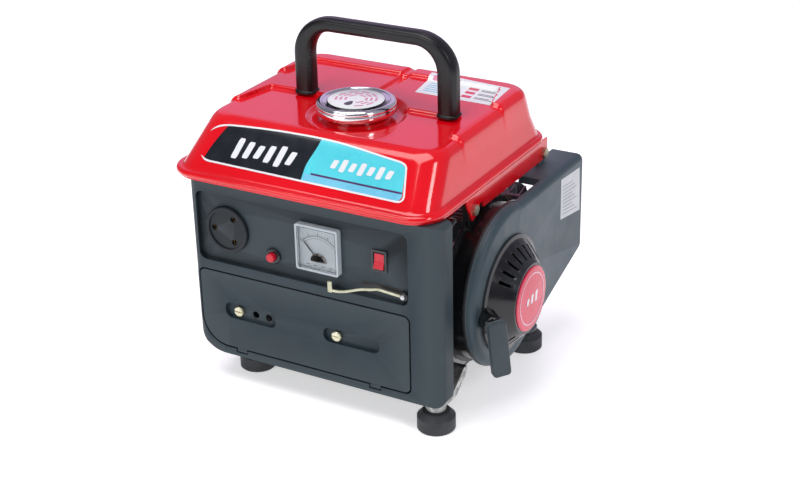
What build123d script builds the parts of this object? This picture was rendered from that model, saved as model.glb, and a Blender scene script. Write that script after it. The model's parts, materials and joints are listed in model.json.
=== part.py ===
"""Portable two-stroke generator, built as separate pieces in millimetres.

+Z is up, the control panel faces -Y, the recoil starter is on the +X side and
the origin is on the floor under the middle of the overall box.
"""
import math
import os

from build123d import *

os.makedirs("parts", exist_ok=True)

# ---------------------------------------------------------------- clearances
RUN_GAP = 0.4        # between a moving piece and what it moves in
FIT_GAP = 0.1        # between fixed round pieces that fit one in the other
SLIP_GAP = 1.0       # between the fuel cap and its neck
COVER_GAP = 1.8      # groove round the lower cover

# ---------------------------------------------------------------- feet, base
FOOT_H = 22.0
FOOT_R = 19.5
FOOT_TOP_R = 13.0
FOOT_BORE_R = 3.5
FOOT_POINTS = [(-115, -106), (-115, 84), (121, 62)]
FRONT_FOOT = (116, -131)
BASE_X0 = -152.0
BASE_X1 = 102.0
BASE_Y0 = -122.0
BASE_Y1 = 100.0
BASE_T = 3.0
BASE_FLANGE_H = 14.0

# ---------------------------------------------------------------- panel
PANEL_X0 = -160.0
PANEL_X1 = 131.0
PANEL_Z0 = 32.0
PANEL_Z1 = 226.0
PANEL_Y0 = -148.0
PANEL_DEPTH = 26.0
PANEL_T = 3.0
PANEL_EDGE_R = 12.0
PANEL_CORNER_R = 34.0
PANEL_SMALL_R = 6.0
RECESS_X0 = -150.0
RECESS_X1 = 96.0
RECESS_Z0 = 138.0
RECESS_Z1 = 214.0
RECESS_D = 5.0
RECESS_R = 8.0
COVER_X0 = -151.0
COVER_X1 = 96.0
COVER_Z0 = 42.0
COVER_Z1 = 126.0
COVER_CORNER_R = 30.0
COVER_SMALL_R = 6.0
COVER_T = 3.0
COVER_POCKET_D = 4.0
COVER_SCREW_X = (-106.0, 12.0)
COVER_SCREW_Z = 85.0
COVER_TAB_X = (-105.0, 56.0)
COVER_TAB_W = 12.0

SOCKET_X = -115.0
SOCKET_Z = 175.5
SOCKET_R = 25.0
SOCKET_WELL_R = 21.0
SOCKET_WELL_D = 1.5
SOCKET_BODY_R = 22.0
SOCKET_PIN_R = 3.2
SOCKET_PINS = [(-15.0, 0.0), (8.5, 12.5), (8.5, -12.5)]
BREAKER_X = -61.0
BREAKER_Z = 157.0
BREAKER_R = 8.5
BUTTON_R = 4.6
BUTTON_TRAVEL = 3.0
METER_X = -5.5
METER_Z = 177.5
METER_W = 49.0
METER_T = 7.0
METER_BARREL_R = 21.5
NEEDLE_L = 24.0
NEEDLE_REST = -42.0
SWITCH_X = 62.5
SWITCH_Z = 178.0
SWITCH_W = 13.0
SWITCH_H = 19.0
CHOKE_X = 90.0
CHOKE_Z = 147.0
CHOKE_ARM = 78.0
CHOKE_DROP = 5.0
CHOKE_STRIP_H = 4.0
CHOKE_TAB_H = 12.0
CHOKE_SHAFT_R = 2.5

# ---------------------------------------------------------------- tank
TANK_X0 = -182.5
TANK_X1 = 125.0
TANK_Y0 = -154.0
TANK_Y1 = 117.0
BRIM_Z0 = 228.0
BRIM_T = 7.0
BRIM_LEDGE = 5.0
BRIM_R = 34.0
SHEET_T = 1.6
TANK_TOP_Z = 283.0
TANK_SLOPE_FRONT = 40.0
TANK_SLOPE_REAR = 20.0
TANK_SLOPE_LEFT = 17.0
TANK_SLOPE_RIGHT = 9.0
TANK_TOP_R = 26.0
TANK_TOP_FILLET = 9.0
STEP_H = 4.0
MID_STEP_Y = -17.0
REAR_STEP_Y = 70.0
STEP_MARGIN = 20.0
PAN_INSET = 17.0
PAN_FRONT_INSET = 36.0
PAN_DEPTH = 17.0
CAP_X = -18.0
CAP_Y = -45.0
CAP_R = 41.0
CAP_H = 13.0
CAP_LABEL_R = 28.5
DISH_R = 48.0
DISH_D = 4.0
NECK_R = 29.0
NECK_TOP_Z = 292.0
NECK_LOW_Z = 266.0
GASKET_T = 2.5

# ---------------------------------------------------------------- handle
HANDLE_X = (-95.0, 72.0)
HANDLE_Y = -16.0
HANDLE_TOP_Z = 370.0
HANDLE_BAR_T = 14.0
HANDLE_LEG_W = 21.0
HANDLE_DEPTH = 19.0
HANDLE_BEND_R = 34.0
HANDLE_EDGE_R = 5.5

# ---------------------------------------------------------------- engine
CRANK_Y = -31.0
CRANK_Z = 112.0
ENGINE_X = 82.0
CYL_TILT = 15.0
BORE_R = 22.5
STROKE = 40.0
ROD_L = 74.0
CASE_R = 40.0
CASE_T = 5.0
CASE_LUG_Y0 = -84.0
CASE_X0 = 56.0
CASE_X1 = 108.0
SHAFT_R = 8.5
WEB_R = 31.0
WEB_T = 9.0
WEB_GAP = 13.0
PIN_R = 7.0
LINER_T = 3.5
FIN_T = 1.8
FIN_PITCH = 6.0
FIN_COUNT = 8
FIN_HALF_X = 29.0
FIN_HALF_Z = 34.0
CYL_BASE_Y = 42.0
HEAD_T = 10.0

# ---------------------------------------------------------------- alternator
ALT_X0 = -66.0
ALT_X1 = 40.0
ALT_R = 58.0
ALT_SHELL_T = 4.0
STATOR_X0 = -34.0
STATOR_X1 = 26.0
STATOR_BORE_R = 34.0
ROTOR_R = 33.0

# ---------------------------------------------------------------- cooling side
HOUSING_X0 = 112.0
HOUSING_X1 = 137.0
HOUSING_R = 82.0
VOLUTE_Y = -24.0
VOLUTE_Z = 118.0
VOLUTE_R = 85.0
SHROUD_X1 = 147.0
SHROUD_REAR_X0 = 112.0
SHROUD_REAR_Y = 154.0
SHROUD_TOP_Z = 200.0
SHROUD_LOW_Z = 88.0
SHROUD_SPLIT_Y = 62.0
SHROUD_T = 2.5
SHROUD_EDGE_R = 7.0
FAN_R = 70.0
FAN_BLADES = 16
COIL_ANGLE = 45.0
RECOIL_R = 62.0
RECOIL_FLANGE_T = 2.5
RECOIL_TOP_R = 37.0
RECOIL_TOP_X = 171.0
RECOIL_T = 2.5
LABEL_R = 34.0
LABEL_T = 0.8
PULLEY_R = 40.0
GROOVE_D = 6.0
PULLEY_X0 = 151.0
PULLEY_X1 = 157.5
NOSE_R = 10.5
NOSE_ANGLE = -42.0
NOSE_START = (146.0, -84.0)
NOSE_L = 26.3
NOSE_Z = 111.0
ROPE_R = 1.7
GRIP_W = 19.0
GRIP_T = 8.0
GRIP_L = 60.0
GRIP_LEAN = 6.0

# ---------------------------------------------------------------- exhaust
MUFFLER_X0 = -70.0
MUFFLER_X1 = 44.0
MUFFLER_Y0 = 46.0
MUFFLER_Y1 = 106.0
MUFFLER_Z0 = 78.0
MUFFLER_Z1 = 150.0


# ---------------------------------------------------------------- helpers
def block(x0, x1, y0, y1, z0, z1):
    """Box between two corners."""
    size = Box(x1 - x0, y1 - y0, z1 - z0)
    return Pos((x0 + x1) / 2, (y0 + y1) / 2, (z0 + z1) / 2) * size


def rod_x(r, x0, x1, y=CRANK_Y, z=CRANK_Z):
    """Cylinder along X."""
    return Pos((x0 + x1) / 2, y, z) * Rot(0, 90, 0) * Cylinder(r, x1 - x0)


def rod_y(r, y0, y1, x, z):
    """Cylinder along Y."""
    return Pos(x, (y0 + y1) / 2, z) * Rot(90, 0, 0) * Cylinder(r, y1 - y0)


def rod_z(r, z0, z1, x, y):
    """Cylinder along Z."""
    return Pos(x, y, (z0 + z1) / 2) * Cylinder(r, z1 - z0)


def plate_xy(x0, x1, y0, y1, r, z0, z1):
    """Plate with rounded corners seen from above."""
    outline = Pos((x0 + x1) / 2, (y0 + y1) / 2, z0) * RectangleRounded(x1 - x0, y1 - y0, r)
    return extrude(outline, z1 - z0)


def plate_xz(x0, x1, z0, z1, r, y0, y1):
    """Plate with rounded corners seen from the front."""
    plane = Plane(origin=((x0 + x1) / 2, y1, (z0 + z1) / 2), x_dir=(1, 0, 0), z_dir=(0, -1, 0))
    return extrude(plane * RectangleRounded(x1 - x0, z1 - z0, r), y1 - y0)


def hex_x(across, x0, x1, y, z):
    """Hexagon prism along X."""
    plane = Plane(origin=(x0, y, z), x_dir=(0, 1, 0), z_dir=(1, 0, 0))
    return extrude(plane * RegularPolygon(across / 2, 6, major_radius=False), x1 - x0)


def turned_x(points):
    """Solid turned about the crank axis from (x, radius) points."""
    plane = Plane(origin=(0, CRANK_Y, CRANK_Z), x_dir=(1, 0, 0), z_dir=(0, -1, 0))
    profile = plane * make_face(Polyline(*points, close=True))
    return revolve(profile, Axis((0, CRANK_Y, CRANK_Z), (1, 0, 0)))


def turned_z(points, x, y):
    """Solid turned about an upright axis from (radius, z) points."""
    plane = Plane(origin=(x, y, 0), x_dir=(1, 0, 0), z_dir=(0, -1, 0))
    profile = plane * make_face(Polyline(*points, close=True))
    return revolve(profile, Axis((x, y, 0), (0, 0, 1)))


def tilted(shape):
    """Turn a piece laid along +Y from the crank axis up to the cylinder angle."""
    centre = Pos(0, CRANK_Y, CRANK_Z)
    return centre * Rot(CYL_TILT, 0, 0) * shape


def save(name, shape):
    """Write one piece."""
    shape.label = name
    export_step(shape, os.path.join("parts", name + ".step"))


def group(shapes):
    """Keep alike separate solids together."""
    return Compound(children=[solid for shape in shapes for solid in shape.solids()])


# ---------------------------------------------------------------- feet, base
def rubber_foot(x, y):
    """Round rubber foot with a dished top and a stepped bore."""
    dish_z = FOOT_H - 1.0
    side_z = FOOT_H - 5.0
    points = [
        (FOOT_BORE_R, 6.0),
        (FOOT_R * 0.45, 6.0),
        (FOOT_R * 0.45, 0.0),
        (FOOT_R - 1.5, 0.0),
        (FOOT_R, 1.5),
        (FOOT_R, side_z - 2.0),
        (FOOT_R - 2.0, side_z),
        (FOOT_TOP_R + 1.0, dish_z),
        (FOOT_TOP_R - 2.5, FOOT_H),
        (FOOT_BORE_R, FOOT_H),
    ]
    return turned_z(points, x, y)


def foot_bolt(x, y, top_z):
    """Screw from below with a washer under its head and a nut above."""
    head = rod_z(5.5, 2.5, 6.0, x, y)
    shank = rod_z(FOOT_BORE_R - FIT_GAP, 6.0, top_z + 7.0, x, y)
    nut = extrude(Pos(x, y, top_z) * RegularPolygon(5.0, 6, major_radius=False), 5.0)
    return head + shank + nut


save("rubber_feet", group([rubber_foot(x, y) for x, y in FOOT_POINTS + [FRONT_FOOT]]))

base_top = FOOT_H + BASE_T
base = plate_xy(BASE_X0, BASE_X1, BASE_Y0, BASE_Y1, 10, FOOT_H, base_top)
rim = plate_xy(BASE_X0, BASE_X1, BASE_Y0, BASE_Y1, 10, base_top, FOOT_H + BASE_FLANGE_H)
rim -= plate_xy(
    BASE_X0 + BASE_T, BASE_X1 - BASE_T, BASE_Y0 + BASE_T, BASE_Y1 - BASE_T, 8,
    base_top - 1, FOOT_H + BASE_FLANGE_H + 1,
)
rim -= block(BASE_X1 - 2 * BASE_T, BASE_X1 + 1, -100, BASE_Y1 - 12, base_top, FOOT_H + 40)
ear_x, ear_y = FOOT_POINTS[2]
base += rim + plate_xy(BASE_X1 - 30, ear_x + 13, ear_y - 14, ear_y + 14, 12, FOOT_H, base_top)
for x, y in FOOT_POINTS:
    base -= rod_z(FOOT_BORE_R, FOOT_H - 1, base_top + 1, x, y)
save("base_frame", base)

# The front right foot is carried by a galvanised bracket bolted to the crankcase.
fx, fy = FRONT_FOOT
BRACKET_T = 4.0
BRACKET_Z = FOOT_H + 4.0
BRACKET_W = 20.0
toe_x0 = fx - BRACKET_W / 2
toe_top = BRACKET_Z + BRACKET_T
sleeve = rod_z(10, FOOT_H, BRACKET_Z, fx, fy)
toe = plate_xy(toe_x0, toe_x0 + BRACKET_W, fy - 10, fy + 24, 6, BRACKET_Z, toe_top)
arm_y = CASE_LUG_Y0 - 2
arm_z = 50.0
side_plane = Plane(origin=(toe_x0, 0, 0), x_dir=(0, 1, 0), z_dir=(1, 0, 0))
slope = make_face(
    Polyline(
        (fy + 14, BRACKET_Z),
        (fy + 24, BRACKET_Z),
        (arm_y + 2, arm_z - 8),
        (arm_y + 2, arm_z),
        (arm_y - 4, arm_z),
        (fy + 14, toe_top),
        close=True,
    )
)
arm = extrude(side_plane * slope, BRACKET_W)
upright = block(toe_x0, HOUSING_X0 - 1, arm_y - 4, CASE_LUG_Y0, arm_z - 8, 74)
foot_bracket = sleeve + toe + arm + upright - rod_z(FOOT_BORE_R, FOOT_H - 1, toe_top + 1, fx, fy)
save("foot_bracket", foot_bracket)

bolts = [foot_bolt(x, y, base_top) for x, y in FOOT_POINTS]
bolts.append(foot_bolt(fx, fy, toe_top))
save("foot_bolts", group(bolts))

# ---------------------------------------------------------------- control panel
panel_y1 = PANEL_Y0 + PANEL_DEPTH


def cornered_plate(x0, x1, z0, z1, corner_r, small_r, y0, y1):
    """Plate seen from the front with one large corner at the lower left."""
    width = x1 - x0
    height = z1 - z0
    face = Rectangle(width, height)
    low_left = face.vertices().sort_by(lambda v: v.X + v.Y)[0]
    face = fillet([low_left], corner_r)
    sharp = [v for v in face.vertices() if v.X > width / 2 - 0.01 or v.Y > height / 2 - 0.01]
    face = fillet(sharp, small_r)
    plane = Plane(origin=((x0 + x1) / 2, y1, (z0 + z1) / 2), x_dir=(1, 0, 0), z_dir=(0, -1, 0))
    return extrude(plane * face, y1 - y0)


def panel_body(inset, y1):
    """Panel block with rounded front uprights, set in from its outer skin."""
    x0 = PANEL_X0 + inset
    x1 = PANEL_X1 - inset
    z0 = PANEL_Z0 + inset
    z1 = PANEL_Z1 - inset
    body = block(x0, x1, PANEL_Y0 + inset, y1, z0, z1)
    body = fillet(body.edges().filter_by(Axis.Z).group_by(Axis.Y)[0], PANEL_EDGE_R - inset)
    outline = cornered_plate(
        x0, x1, z0, z1, PANEL_CORNER_R - inset, PANEL_SMALL_R - inset, PANEL_Y0, y1
    )
    return body & outline


panel = panel_body(0, panel_y1) - panel_body(PANEL_T, panel_y1 + 1)
recess_floor_y = PANEL_Y0 + RECESS_D
recess_back_y = recess_floor_y + PANEL_T
panel += plate_xz(
    RECESS_X0 - PANEL_T, RECESS_X1 + PANEL_T, RECESS_Z0 - PANEL_T, RECESS_Z1 + PANEL_T,
    RECESS_R + PANEL_T, PANEL_Y0 + 1, recess_back_y,
)
panel -= plate_xz(RECESS_X0, RECESS_X1, RECESS_Z0, RECESS_Z1, RECESS_R, PANEL_Y0 - 1, recess_floor_y)


def cover_outline(gap, y0, y1):
    """Lower cover shape, grown by a gap."""
    return cornered_plate(
        COVER_X0 - gap, COVER_X1 + gap, COVER_Z0 - gap, COVER_Z1 + gap,
        COVER_CORNER_R + gap, COVER_SMALL_R + gap, y0, y1,
    )


LIP_W = 2.0
lip_y = PANEL_Y0 + COVER_T + 2.0
opening = cover_outline(COVER_GAP, PANEL_Y0 - 1, PANEL_Y0 + 10)
lip = cover_outline(COVER_GAP + LIP_W, PANEL_Y0 + 1, lip_y + 2) - opening
lip_back = cover_outline(COVER_GAP + LIP_W, lip_y, lip_y + 2) - cover_outline(-5, lip_y - 1, lip_y + 3)
panel = panel - opening + lip + lip_back
BAR_W = 9.0
for x in COVER_SCREW_X:
    panel += block(x - BAR_W, x + BAR_W, lip_y + 2, lip_y + 5, COVER_Z0 - 2, COVER_Z1 + 2)
    panel -= rod_y(3.6, lip_y + 1, lip_y + 6, x, COVER_SCREW_Z)
for x in COVER_TAB_X:
    panel -= block(
        x - COVER_TAB_W / 2 - SLIP_GAP, x + COVER_TAB_W / 2 + SLIP_GAP,
        PANEL_Y0 - 1, lip_y, COVER_Z0 - 6, COVER_Z0,
    )
panel -= rod_y(SOCKET_BODY_R + FIT_GAP, PANEL_Y0, recess_back_y + 1, SOCKET_X, SOCKET_Z)
panel -= rod_y(BREAKER_R - 2, PANEL_Y0, recess_back_y + 1, BREAKER_X, BREAKER_Z)
panel -= rod_y(METER_BARREL_R + FIT_GAP, PANEL_Y0, recess_back_y + 1, METER_X, METER_Z)
switch_hole_w = SWITCH_W / 2 + 0.5
switch_hole_h = SWITCH_H / 2 + 0.5
panel -= block(
    SWITCH_X - switch_hole_w, SWITCH_X + switch_hole_w, PANEL_Y0, recess_back_y + 1,
    SWITCH_Z - switch_hole_h, SWITCH_Z + switch_hole_h,
)
panel -= rod_y(CHOKE_SHAFT_R + RUN_GAP, PANEL_Y0, recess_back_y + 1, CHOKE_X, CHOKE_Z)
panel -= rod_z(8.0, PANEL_Z0 - 1, PANEL_Z0 + PANEL_T + 1, fx, fy)
save("control_panel", panel)

# Round socket with a shallow face and three pin holes.
socket_face_y = recess_floor_y - 4.5
socket_back_y = recess_back_y + 16.0
socket = rod_y(SOCKET_R, socket_face_y, recess_floor_y, SOCKET_X, SOCKET_Z)
socket = fillet(socket.edges().group_by(Axis.Y)[0], 1.5)
socket += rod_y(SOCKET_BODY_R, recess_floor_y, socket_back_y, SOCKET_X, SOCKET_Z)
well_y = socket_face_y + SOCKET_WELL_D
socket -= rod_y(SOCKET_WELL_R, socket_face_y - 1, well_y, SOCKET_X, SOCKET_Z)
contacts = []
for dx, dz in SOCKET_PINS:
    px, pz = SOCKET_X + dx, SOCKET_Z + dz
    socket -= rod_y(SOCKET_PIN_R, well_y - 1, socket_back_y - 2, px, pz)
    sleeve_r = SOCKET_PIN_R - FIT_GAP
    tube = rod_y(sleeve_r, well_y + 3, socket_back_y - 2, px, pz)
    contacts.append(tube - rod_y(sleeve_r - 0.8, well_y + 2, socket_back_y - 4, px, pz))
save("ac_socket", socket)
save("socket_contacts", group(contacts))

# Overload breaker with its push button.
breaker = rod_y(BREAKER_R, recess_floor_y - 3, recess_floor_y, BREAKER_X, BREAKER_Z)
breaker = chamfer(breaker.edges().group_by(Axis.Y)[0], 1.0)
breaker += rod_y(BREAKER_R - 2 - FIT_GAP, recess_floor_y, recess_back_y, BREAKER_X, BREAKER_Z)
breaker += block(
    BREAKER_X - 9, BREAKER_X + 9, recess_back_y, recess_back_y + 18, BREAKER_Z - 12, BREAKER_Z + 12
)
button_hole_y = recess_floor_y + 6
breaker -= rod_y(BUTTON_R + RUN_GAP, recess_floor_y - 4, button_hole_y, BREAKER_X, BREAKER_Z)
save("breaker_body", breaker)
button = rod_y(BUTTON_R, recess_floor_y - 8, button_hole_y - BUTTON_TRAVEL - 0.5, BREAKER_X, BREAKER_Z)
save("reset_button", fillet(button.edges().group_by(Axis.Y)[0], 1.2))

# Square voltmeter: case, printed dial, clear front and needle.
meter_y0 = recess_floor_y - METER_T
half = METER_W / 2
case = plate_xz(
    METER_X - half, METER_X + half, METER_Z - half, METER_Z + half, 2.5, meter_y0, recess_floor_y
)
case += rod_y(METER_BARREL_R, recess_floor_y, recess_back_y + 16, METER_X, METER_Z)
window = half - 2.0
case -= plate_xz(
    METER_X - window, METER_X + window, METER_Z - window, METER_Z + window, 1.5,
    meter_y0 - 1, recess_floor_y - 1.5,
)
save("meter_case", case)
dial_y = recess_floor_y - 2.5
dial_half = window - 0.3
dial = plate_xz(
    METER_X - dial_half, METER_X + dial_half, METER_Z - dial_half, METER_Z + dial_half, 1.2,
    dial_y, recess_floor_y - 1.5,
)
pivot_z = METER_Z - 12.0
needle_y = dial_y - 1.4
dial -= rod_y(2.0, dial_y - 1, dial_y + 2, METER_X, pivot_z)
save("meter_dial", dial)
lens_inner = window - 1.5
lens = plate_xz(
    METER_X - dial_half, METER_X + dial_half, METER_Z - dial_half, METER_Z + dial_half, 1.2,
    meter_y0 + 0.2, meter_y0 + 3.0,
)
lens -= plate_xz(
    METER_X - lens_inner, METER_X + lens_inner, METER_Z - lens_inner, METER_Z + lens_inner, 1.0,
    meter_y0 + 1.4, meter_y0 + 4.0,
)
shade = rod_y(10.0, meter_y0 + 1.4, needle_y - 0.9, METER_X, pivot_z - 2)
shade &= block(METER_X - 20, METER_X + 20, -200, 0, METER_Z - window + 1.6, pivot_z + 20)
save("meter_lens", lens + shade)
needle = rod_y(1.6, needle_y - 0.4, dial_y + 0.8, METER_X, pivot_z)
blade = block(METER_X - 0.5, METER_X + 0.5, needle_y - 0.3, needle_y + 0.3, pivot_z, pivot_z + NEEDLE_L)
needle += Pos(METER_X, 0, pivot_z) * Rot(0, NEEDLE_REST, 0) * Pos(-METER_X, 0, -pivot_z) * blade
save("meter_needle", needle)

# Rocker switch.
bezel_y = recess_floor_y - 1.8
bezel = block(
    SWITCH_X - SWITCH_W / 2 - 2, SWITCH_X + SWITCH_W / 2 + 2, bezel_y, recess_floor_y,
    SWITCH_Z - SWITCH_H / 2 - 2, SWITCH_Z + SWITCH_H / 2 + 2,
)
bezel = fillet(bezel.edges().filter_by(Axis.Y), 1.5)
bezel += block(
    SWITCH_X - SWITCH_W / 2 - 0.4, SWITCH_X + SWITCH_W / 2 + 0.4, recess_floor_y, recess_back_y + 14,
    SWITCH_Z - SWITCH_H / 2 - 0.4, SWITCH_Z + SWITCH_H / 2 + 0.4,
)
bezel -= block(
    SWITCH_X - SWITCH_W / 2 + 0.6, SWITCH_X + SWITCH_W / 2 - 0.6, bezel_y - 1, recess_floor_y + 12,
    SWITCH_Z - SWITCH_H / 2 + 0.6, SWITCH_Z + SWITCH_H / 2 - 0.6,
)
save("switch_bezel", bezel)
rocker_half_h = SWITCH_H / 2 - 1.8
rocker_plane = Plane(
    origin=(SWITCH_X - SWITCH_W / 2 + 1.1, recess_floor_y, SWITCH_Z), x_dir=(0, 1, 0), z_dir=(1, 0, 0)
)
rocker_side = make_face(
    Polyline(
        (-3.8, -rocker_half_h),
        (-1.0, 0.0),
        (-1.0, rocker_half_h),
        (6.0, rocker_half_h - 2.0),
        (6.0, -rocker_half_h + 2.0),
        close=True,
    )
)
rocker = extrude(rocker_plane * rocker_side, SWITCH_W - 2.2)
trunnion = SWITCH_W / 2 - 0.6 - RUN_GAP
rocker += rod_x(1.2, SWITCH_X - trunnion, SWITCH_X + trunnion, recess_floor_y, SWITCH_Z)
save("rocker_switch", rocker)

# Choke lever: flat strip on a shaft that reaches the carburettor.
strip_y0 = PANEL_Y0 - 3.0
strip_y1 = PANEL_Y0 - 1.2
jog_x = CHOKE_X - 26
near_y0 = recess_floor_y - 4.4
near_y1 = recess_floor_y - 2.6
strip_z0 = CHOKE_Z - CHOKE_STRIP_H / 2
strip_z1 = CHOKE_Z + CHOKE_STRIP_H / 2
tab_x = CHOKE_X - CHOKE_ARM
lever = block(tab_x, jog_x, strip_y0, strip_y1, strip_z0, strip_z1)
lever += block(jog_x - 2, jog_x, strip_y0, near_y1, strip_z0, strip_z1)
lever += block(jog_x - 2, CHOKE_X, near_y0, near_y1, strip_z0, strip_z1)
lever += rod_y(4.5, near_y0 - 1.5, near_y1, CHOKE_X, CHOKE_Z)
tab_z0 = CHOKE_Z - CHOKE_TAB_H / 3
lever += block(tab_x - 4, tab_x + 1, strip_y0 - 2, strip_y1, tab_z0, tab_z0 + CHOKE_TAB_H)
lever = Pos(CHOKE_X, 0, CHOKE_Z) * Rot(0, -CHOKE_DROP, 0) * Pos(-CHOKE_X, 0, -CHOKE_Z) * lever
choke_end_y = -98.0
lever += rod_y(CHOKE_SHAFT_R, near_y1 - 0.5, choke_end_y, CHOKE_X, CHOKE_Z)
save("choke_lever", lever)

# Lower cover with two screws in pockets.
cover = cover_outline(0, PANEL_Y0, PANEL_Y0 + COVER_T)
cover += cover_outline(0, PANEL_Y0 + COVER_T, lip_y) - cover_outline(-2.5, PANEL_Y0, lip_y + 1)
for x in COVER_TAB_X:
    cover += block(
        x - COVER_TAB_W / 2, x + COVER_TAB_W / 2, PANEL_Y0 + 0.8, lip_y - 0.2,
        COVER_Z0 - 5, COVER_Z0 + 6,
    )
pocket_y = PANEL_Y0 + COVER_POCKET_D
pocket_boxes = [
    (COVER_SCREW_X[0] - 16, COVER_SCREW_X[0] + 46, COVER_SCREW_Z - 9, COVER_SCREW_Z + 9),
    (COVER_SCREW_X[1] - 15, COVER_SCREW_X[1] + 50, COVER_SCREW_Z - 8, COVER_SCREW_Z + 8),
]
for x0, x1, z0, z1 in pocket_boxes:
    cover += plate_xz(x0 - 2, x1 + 2, z0 - 2, z1 + 2, 9, PANEL_Y0 + 1, pocket_y + 2)
    cover -= plate_xz(x0, x1, z0, z1, 7.5, PANEL_Y0 - 1, pocket_y)
for x in COVER_SCREW_X:
    cover -= rod_y(3.6, PANEL_Y0, pocket_y + 3, x, COVER_SCREW_Z)
for dx in (19.0, 35.0):
    cover -= rod_y(4.0, PANEL_Y0, pocket_y + 3, COVER_SCREW_X[0] + dx, COVER_SCREW_Z - 1)
save("lower_cover", cover)
for side, x in zip(("left", "right"), COVER_SCREW_X):
    screw = rod_y(5.5, PANEL_Y0 - 0.5, pocket_y - RUN_GAP, x, COVER_SCREW_Z)
    screw = fillet(screw.edges().group_by(Axis.Y)[0], 1.2)
    screw += rod_y(3.2, pocket_y - 1, lip_y + 8, x, COVER_SCREW_Z)
    screw -= block(x - 6, x + 6, PANEL_Y0 - 1, PANEL_Y0 + 1.0, COVER_SCREW_Z - 0.7, COVER_SCREW_Z + 0.7)
    save("cover_screw_" + side, screw)


# ---------------------------------------------------------------- tank
def slope_body(inset, z0, z1):
    """Tapered tank hull between two heights, set in from its outer skin."""
    span = TANK_TOP_Z - BRIM_Z0 - BRIM_T
    sections = []
    for z in (z0, z1):
        rise = (z - BRIM_Z0 - BRIM_T) / span
        x0 = TANK_X0 + BRIM_LEDGE + rise * TANK_SLOPE_LEFT + inset
        x1 = TANK_X1 - BRIM_LEDGE - rise * TANK_SLOPE_RIGHT - inset
        y0 = TANK_Y0 + BRIM_LEDGE + rise * TANK_SLOPE_FRONT + inset
        y1 = TANK_Y1 - BRIM_LEDGE - rise * TANK_SLOPE_REAR - inset
        outline = RectangleRounded(x1 - x0, y1 - y0, TANK_TOP_R)
        sections.append(Pos((x0 + x1) / 2, (y0 + y1) / 2, z) * outline)
    return loft(sections, ruled=True)


brim_top = BRIM_Z0 + BRIM_T
hull = slope_body(0, brim_top, TANK_TOP_Z)
hull = fillet(hull.edges().group_by(Axis.Z)[-1], TANK_TOP_FILLET)
step_x0 = TANK_X0 + BRIM_LEDGE + TANK_SLOPE_LEFT + STEP_MARGIN
step_x1 = TANK_X1 - BRIM_LEDGE - TANK_SLOPE_RIGHT - STEP_MARGIN
rear_y1 = TANK_Y1 - BRIM_LEDGE - TANK_SLOPE_REAR
step_z = TANK_TOP_Z - TANK_TOP_FILLET
hull += plate_xy(step_x0, step_x1, MID_STEP_Y, rear_y1, 6, step_z, TANK_TOP_Z + STEP_H)
hull += plate_xy(
    step_x0 + 4, step_x1 - 4, REAR_STEP_Y, rear_y1 - 2, 6, step_z, TANK_TOP_Z + 2 * STEP_H
)
brim = plate_xy(TANK_X0, TANK_X1, TANK_Y0, TANK_Y1, BRIM_R, BRIM_Z0, brim_top)
brim = fillet(brim.edges().group_by(Axis.Z)[-1], 3.0)
hull += brim
cavity = slope_body(SHEET_T, BRIM_Z0, TANK_TOP_Z - SHEET_T)
hull -= fillet(cavity.edges().group_by(Axis.Z)[-1], TANK_TOP_FILLET - SHEET_T)
hull += rod_z(DISH_R, TANK_TOP_Z - DISH_D - SHEET_T, TANK_TOP_Z - 0.5, CAP_X, CAP_Y)
hull -= rod_z(DISH_R - 2, TANK_TOP_Z - DISH_D, TANK_TOP_Z + 20, CAP_X, CAP_Y)
hull -= rod_z(NECK_R, NECK_LOW_Z, TANK_TOP_Z + 20, CAP_X, CAP_Y)
save("tank_upper", hull)

# The lower pan closes the tank under the brim.
pan_x0 = TANK_X0 + PAN_INSET
pan_x1 = TANK_X1 - PAN_INSET
pan_y0 = TANK_Y0 + PAN_FRONT_INSET
pan_y1 = TANK_Y1 - PAN_INSET
pan_z0 = BRIM_Z0 - PAN_DEPTH
flange = plate_xy(
    TANK_X0 + 2, TANK_X1 - 2, TANK_Y0 + 2, TANK_Y1 - 2, BRIM_R - 2, BRIM_Z0 - SHEET_T, BRIM_Z0
)
pan = flange + plate_xy(pan_x0, pan_x1, pan_y0, pan_y1, 22, pan_z0, BRIM_Z0)
pan -= plate_xy(
    pan_x0 + SHEET_T, pan_x1 - SHEET_T, pan_y0 + SHEET_T, pan_y1 - SHEET_T, 20,
    pan_z0 + SHEET_T, BRIM_Z0 + 1,
)
TAP_X = 92.0
TAP_Y = -94.0
pan -= rod_z(5.0, pan_z0 - 1, pan_z0 + 3, TAP_X, TAP_Y)
save("tank_lower", pan)

neck = rod_z(NECK_R, NECK_LOW_Z, NECK_TOP_Z, CAP_X, CAP_Y)
neck += rod_z(NECK_R + 5, TANK_TOP_Z - DISH_D, TANK_TOP_Z - DISH_D + 2, CAP_X, CAP_Y)
neck -= rod_z(NECK_R - 3, NECK_LOW_Z - 1, NECK_TOP_Z + 1, CAP_X, CAP_Y)
save("filler_neck", neck)

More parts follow.
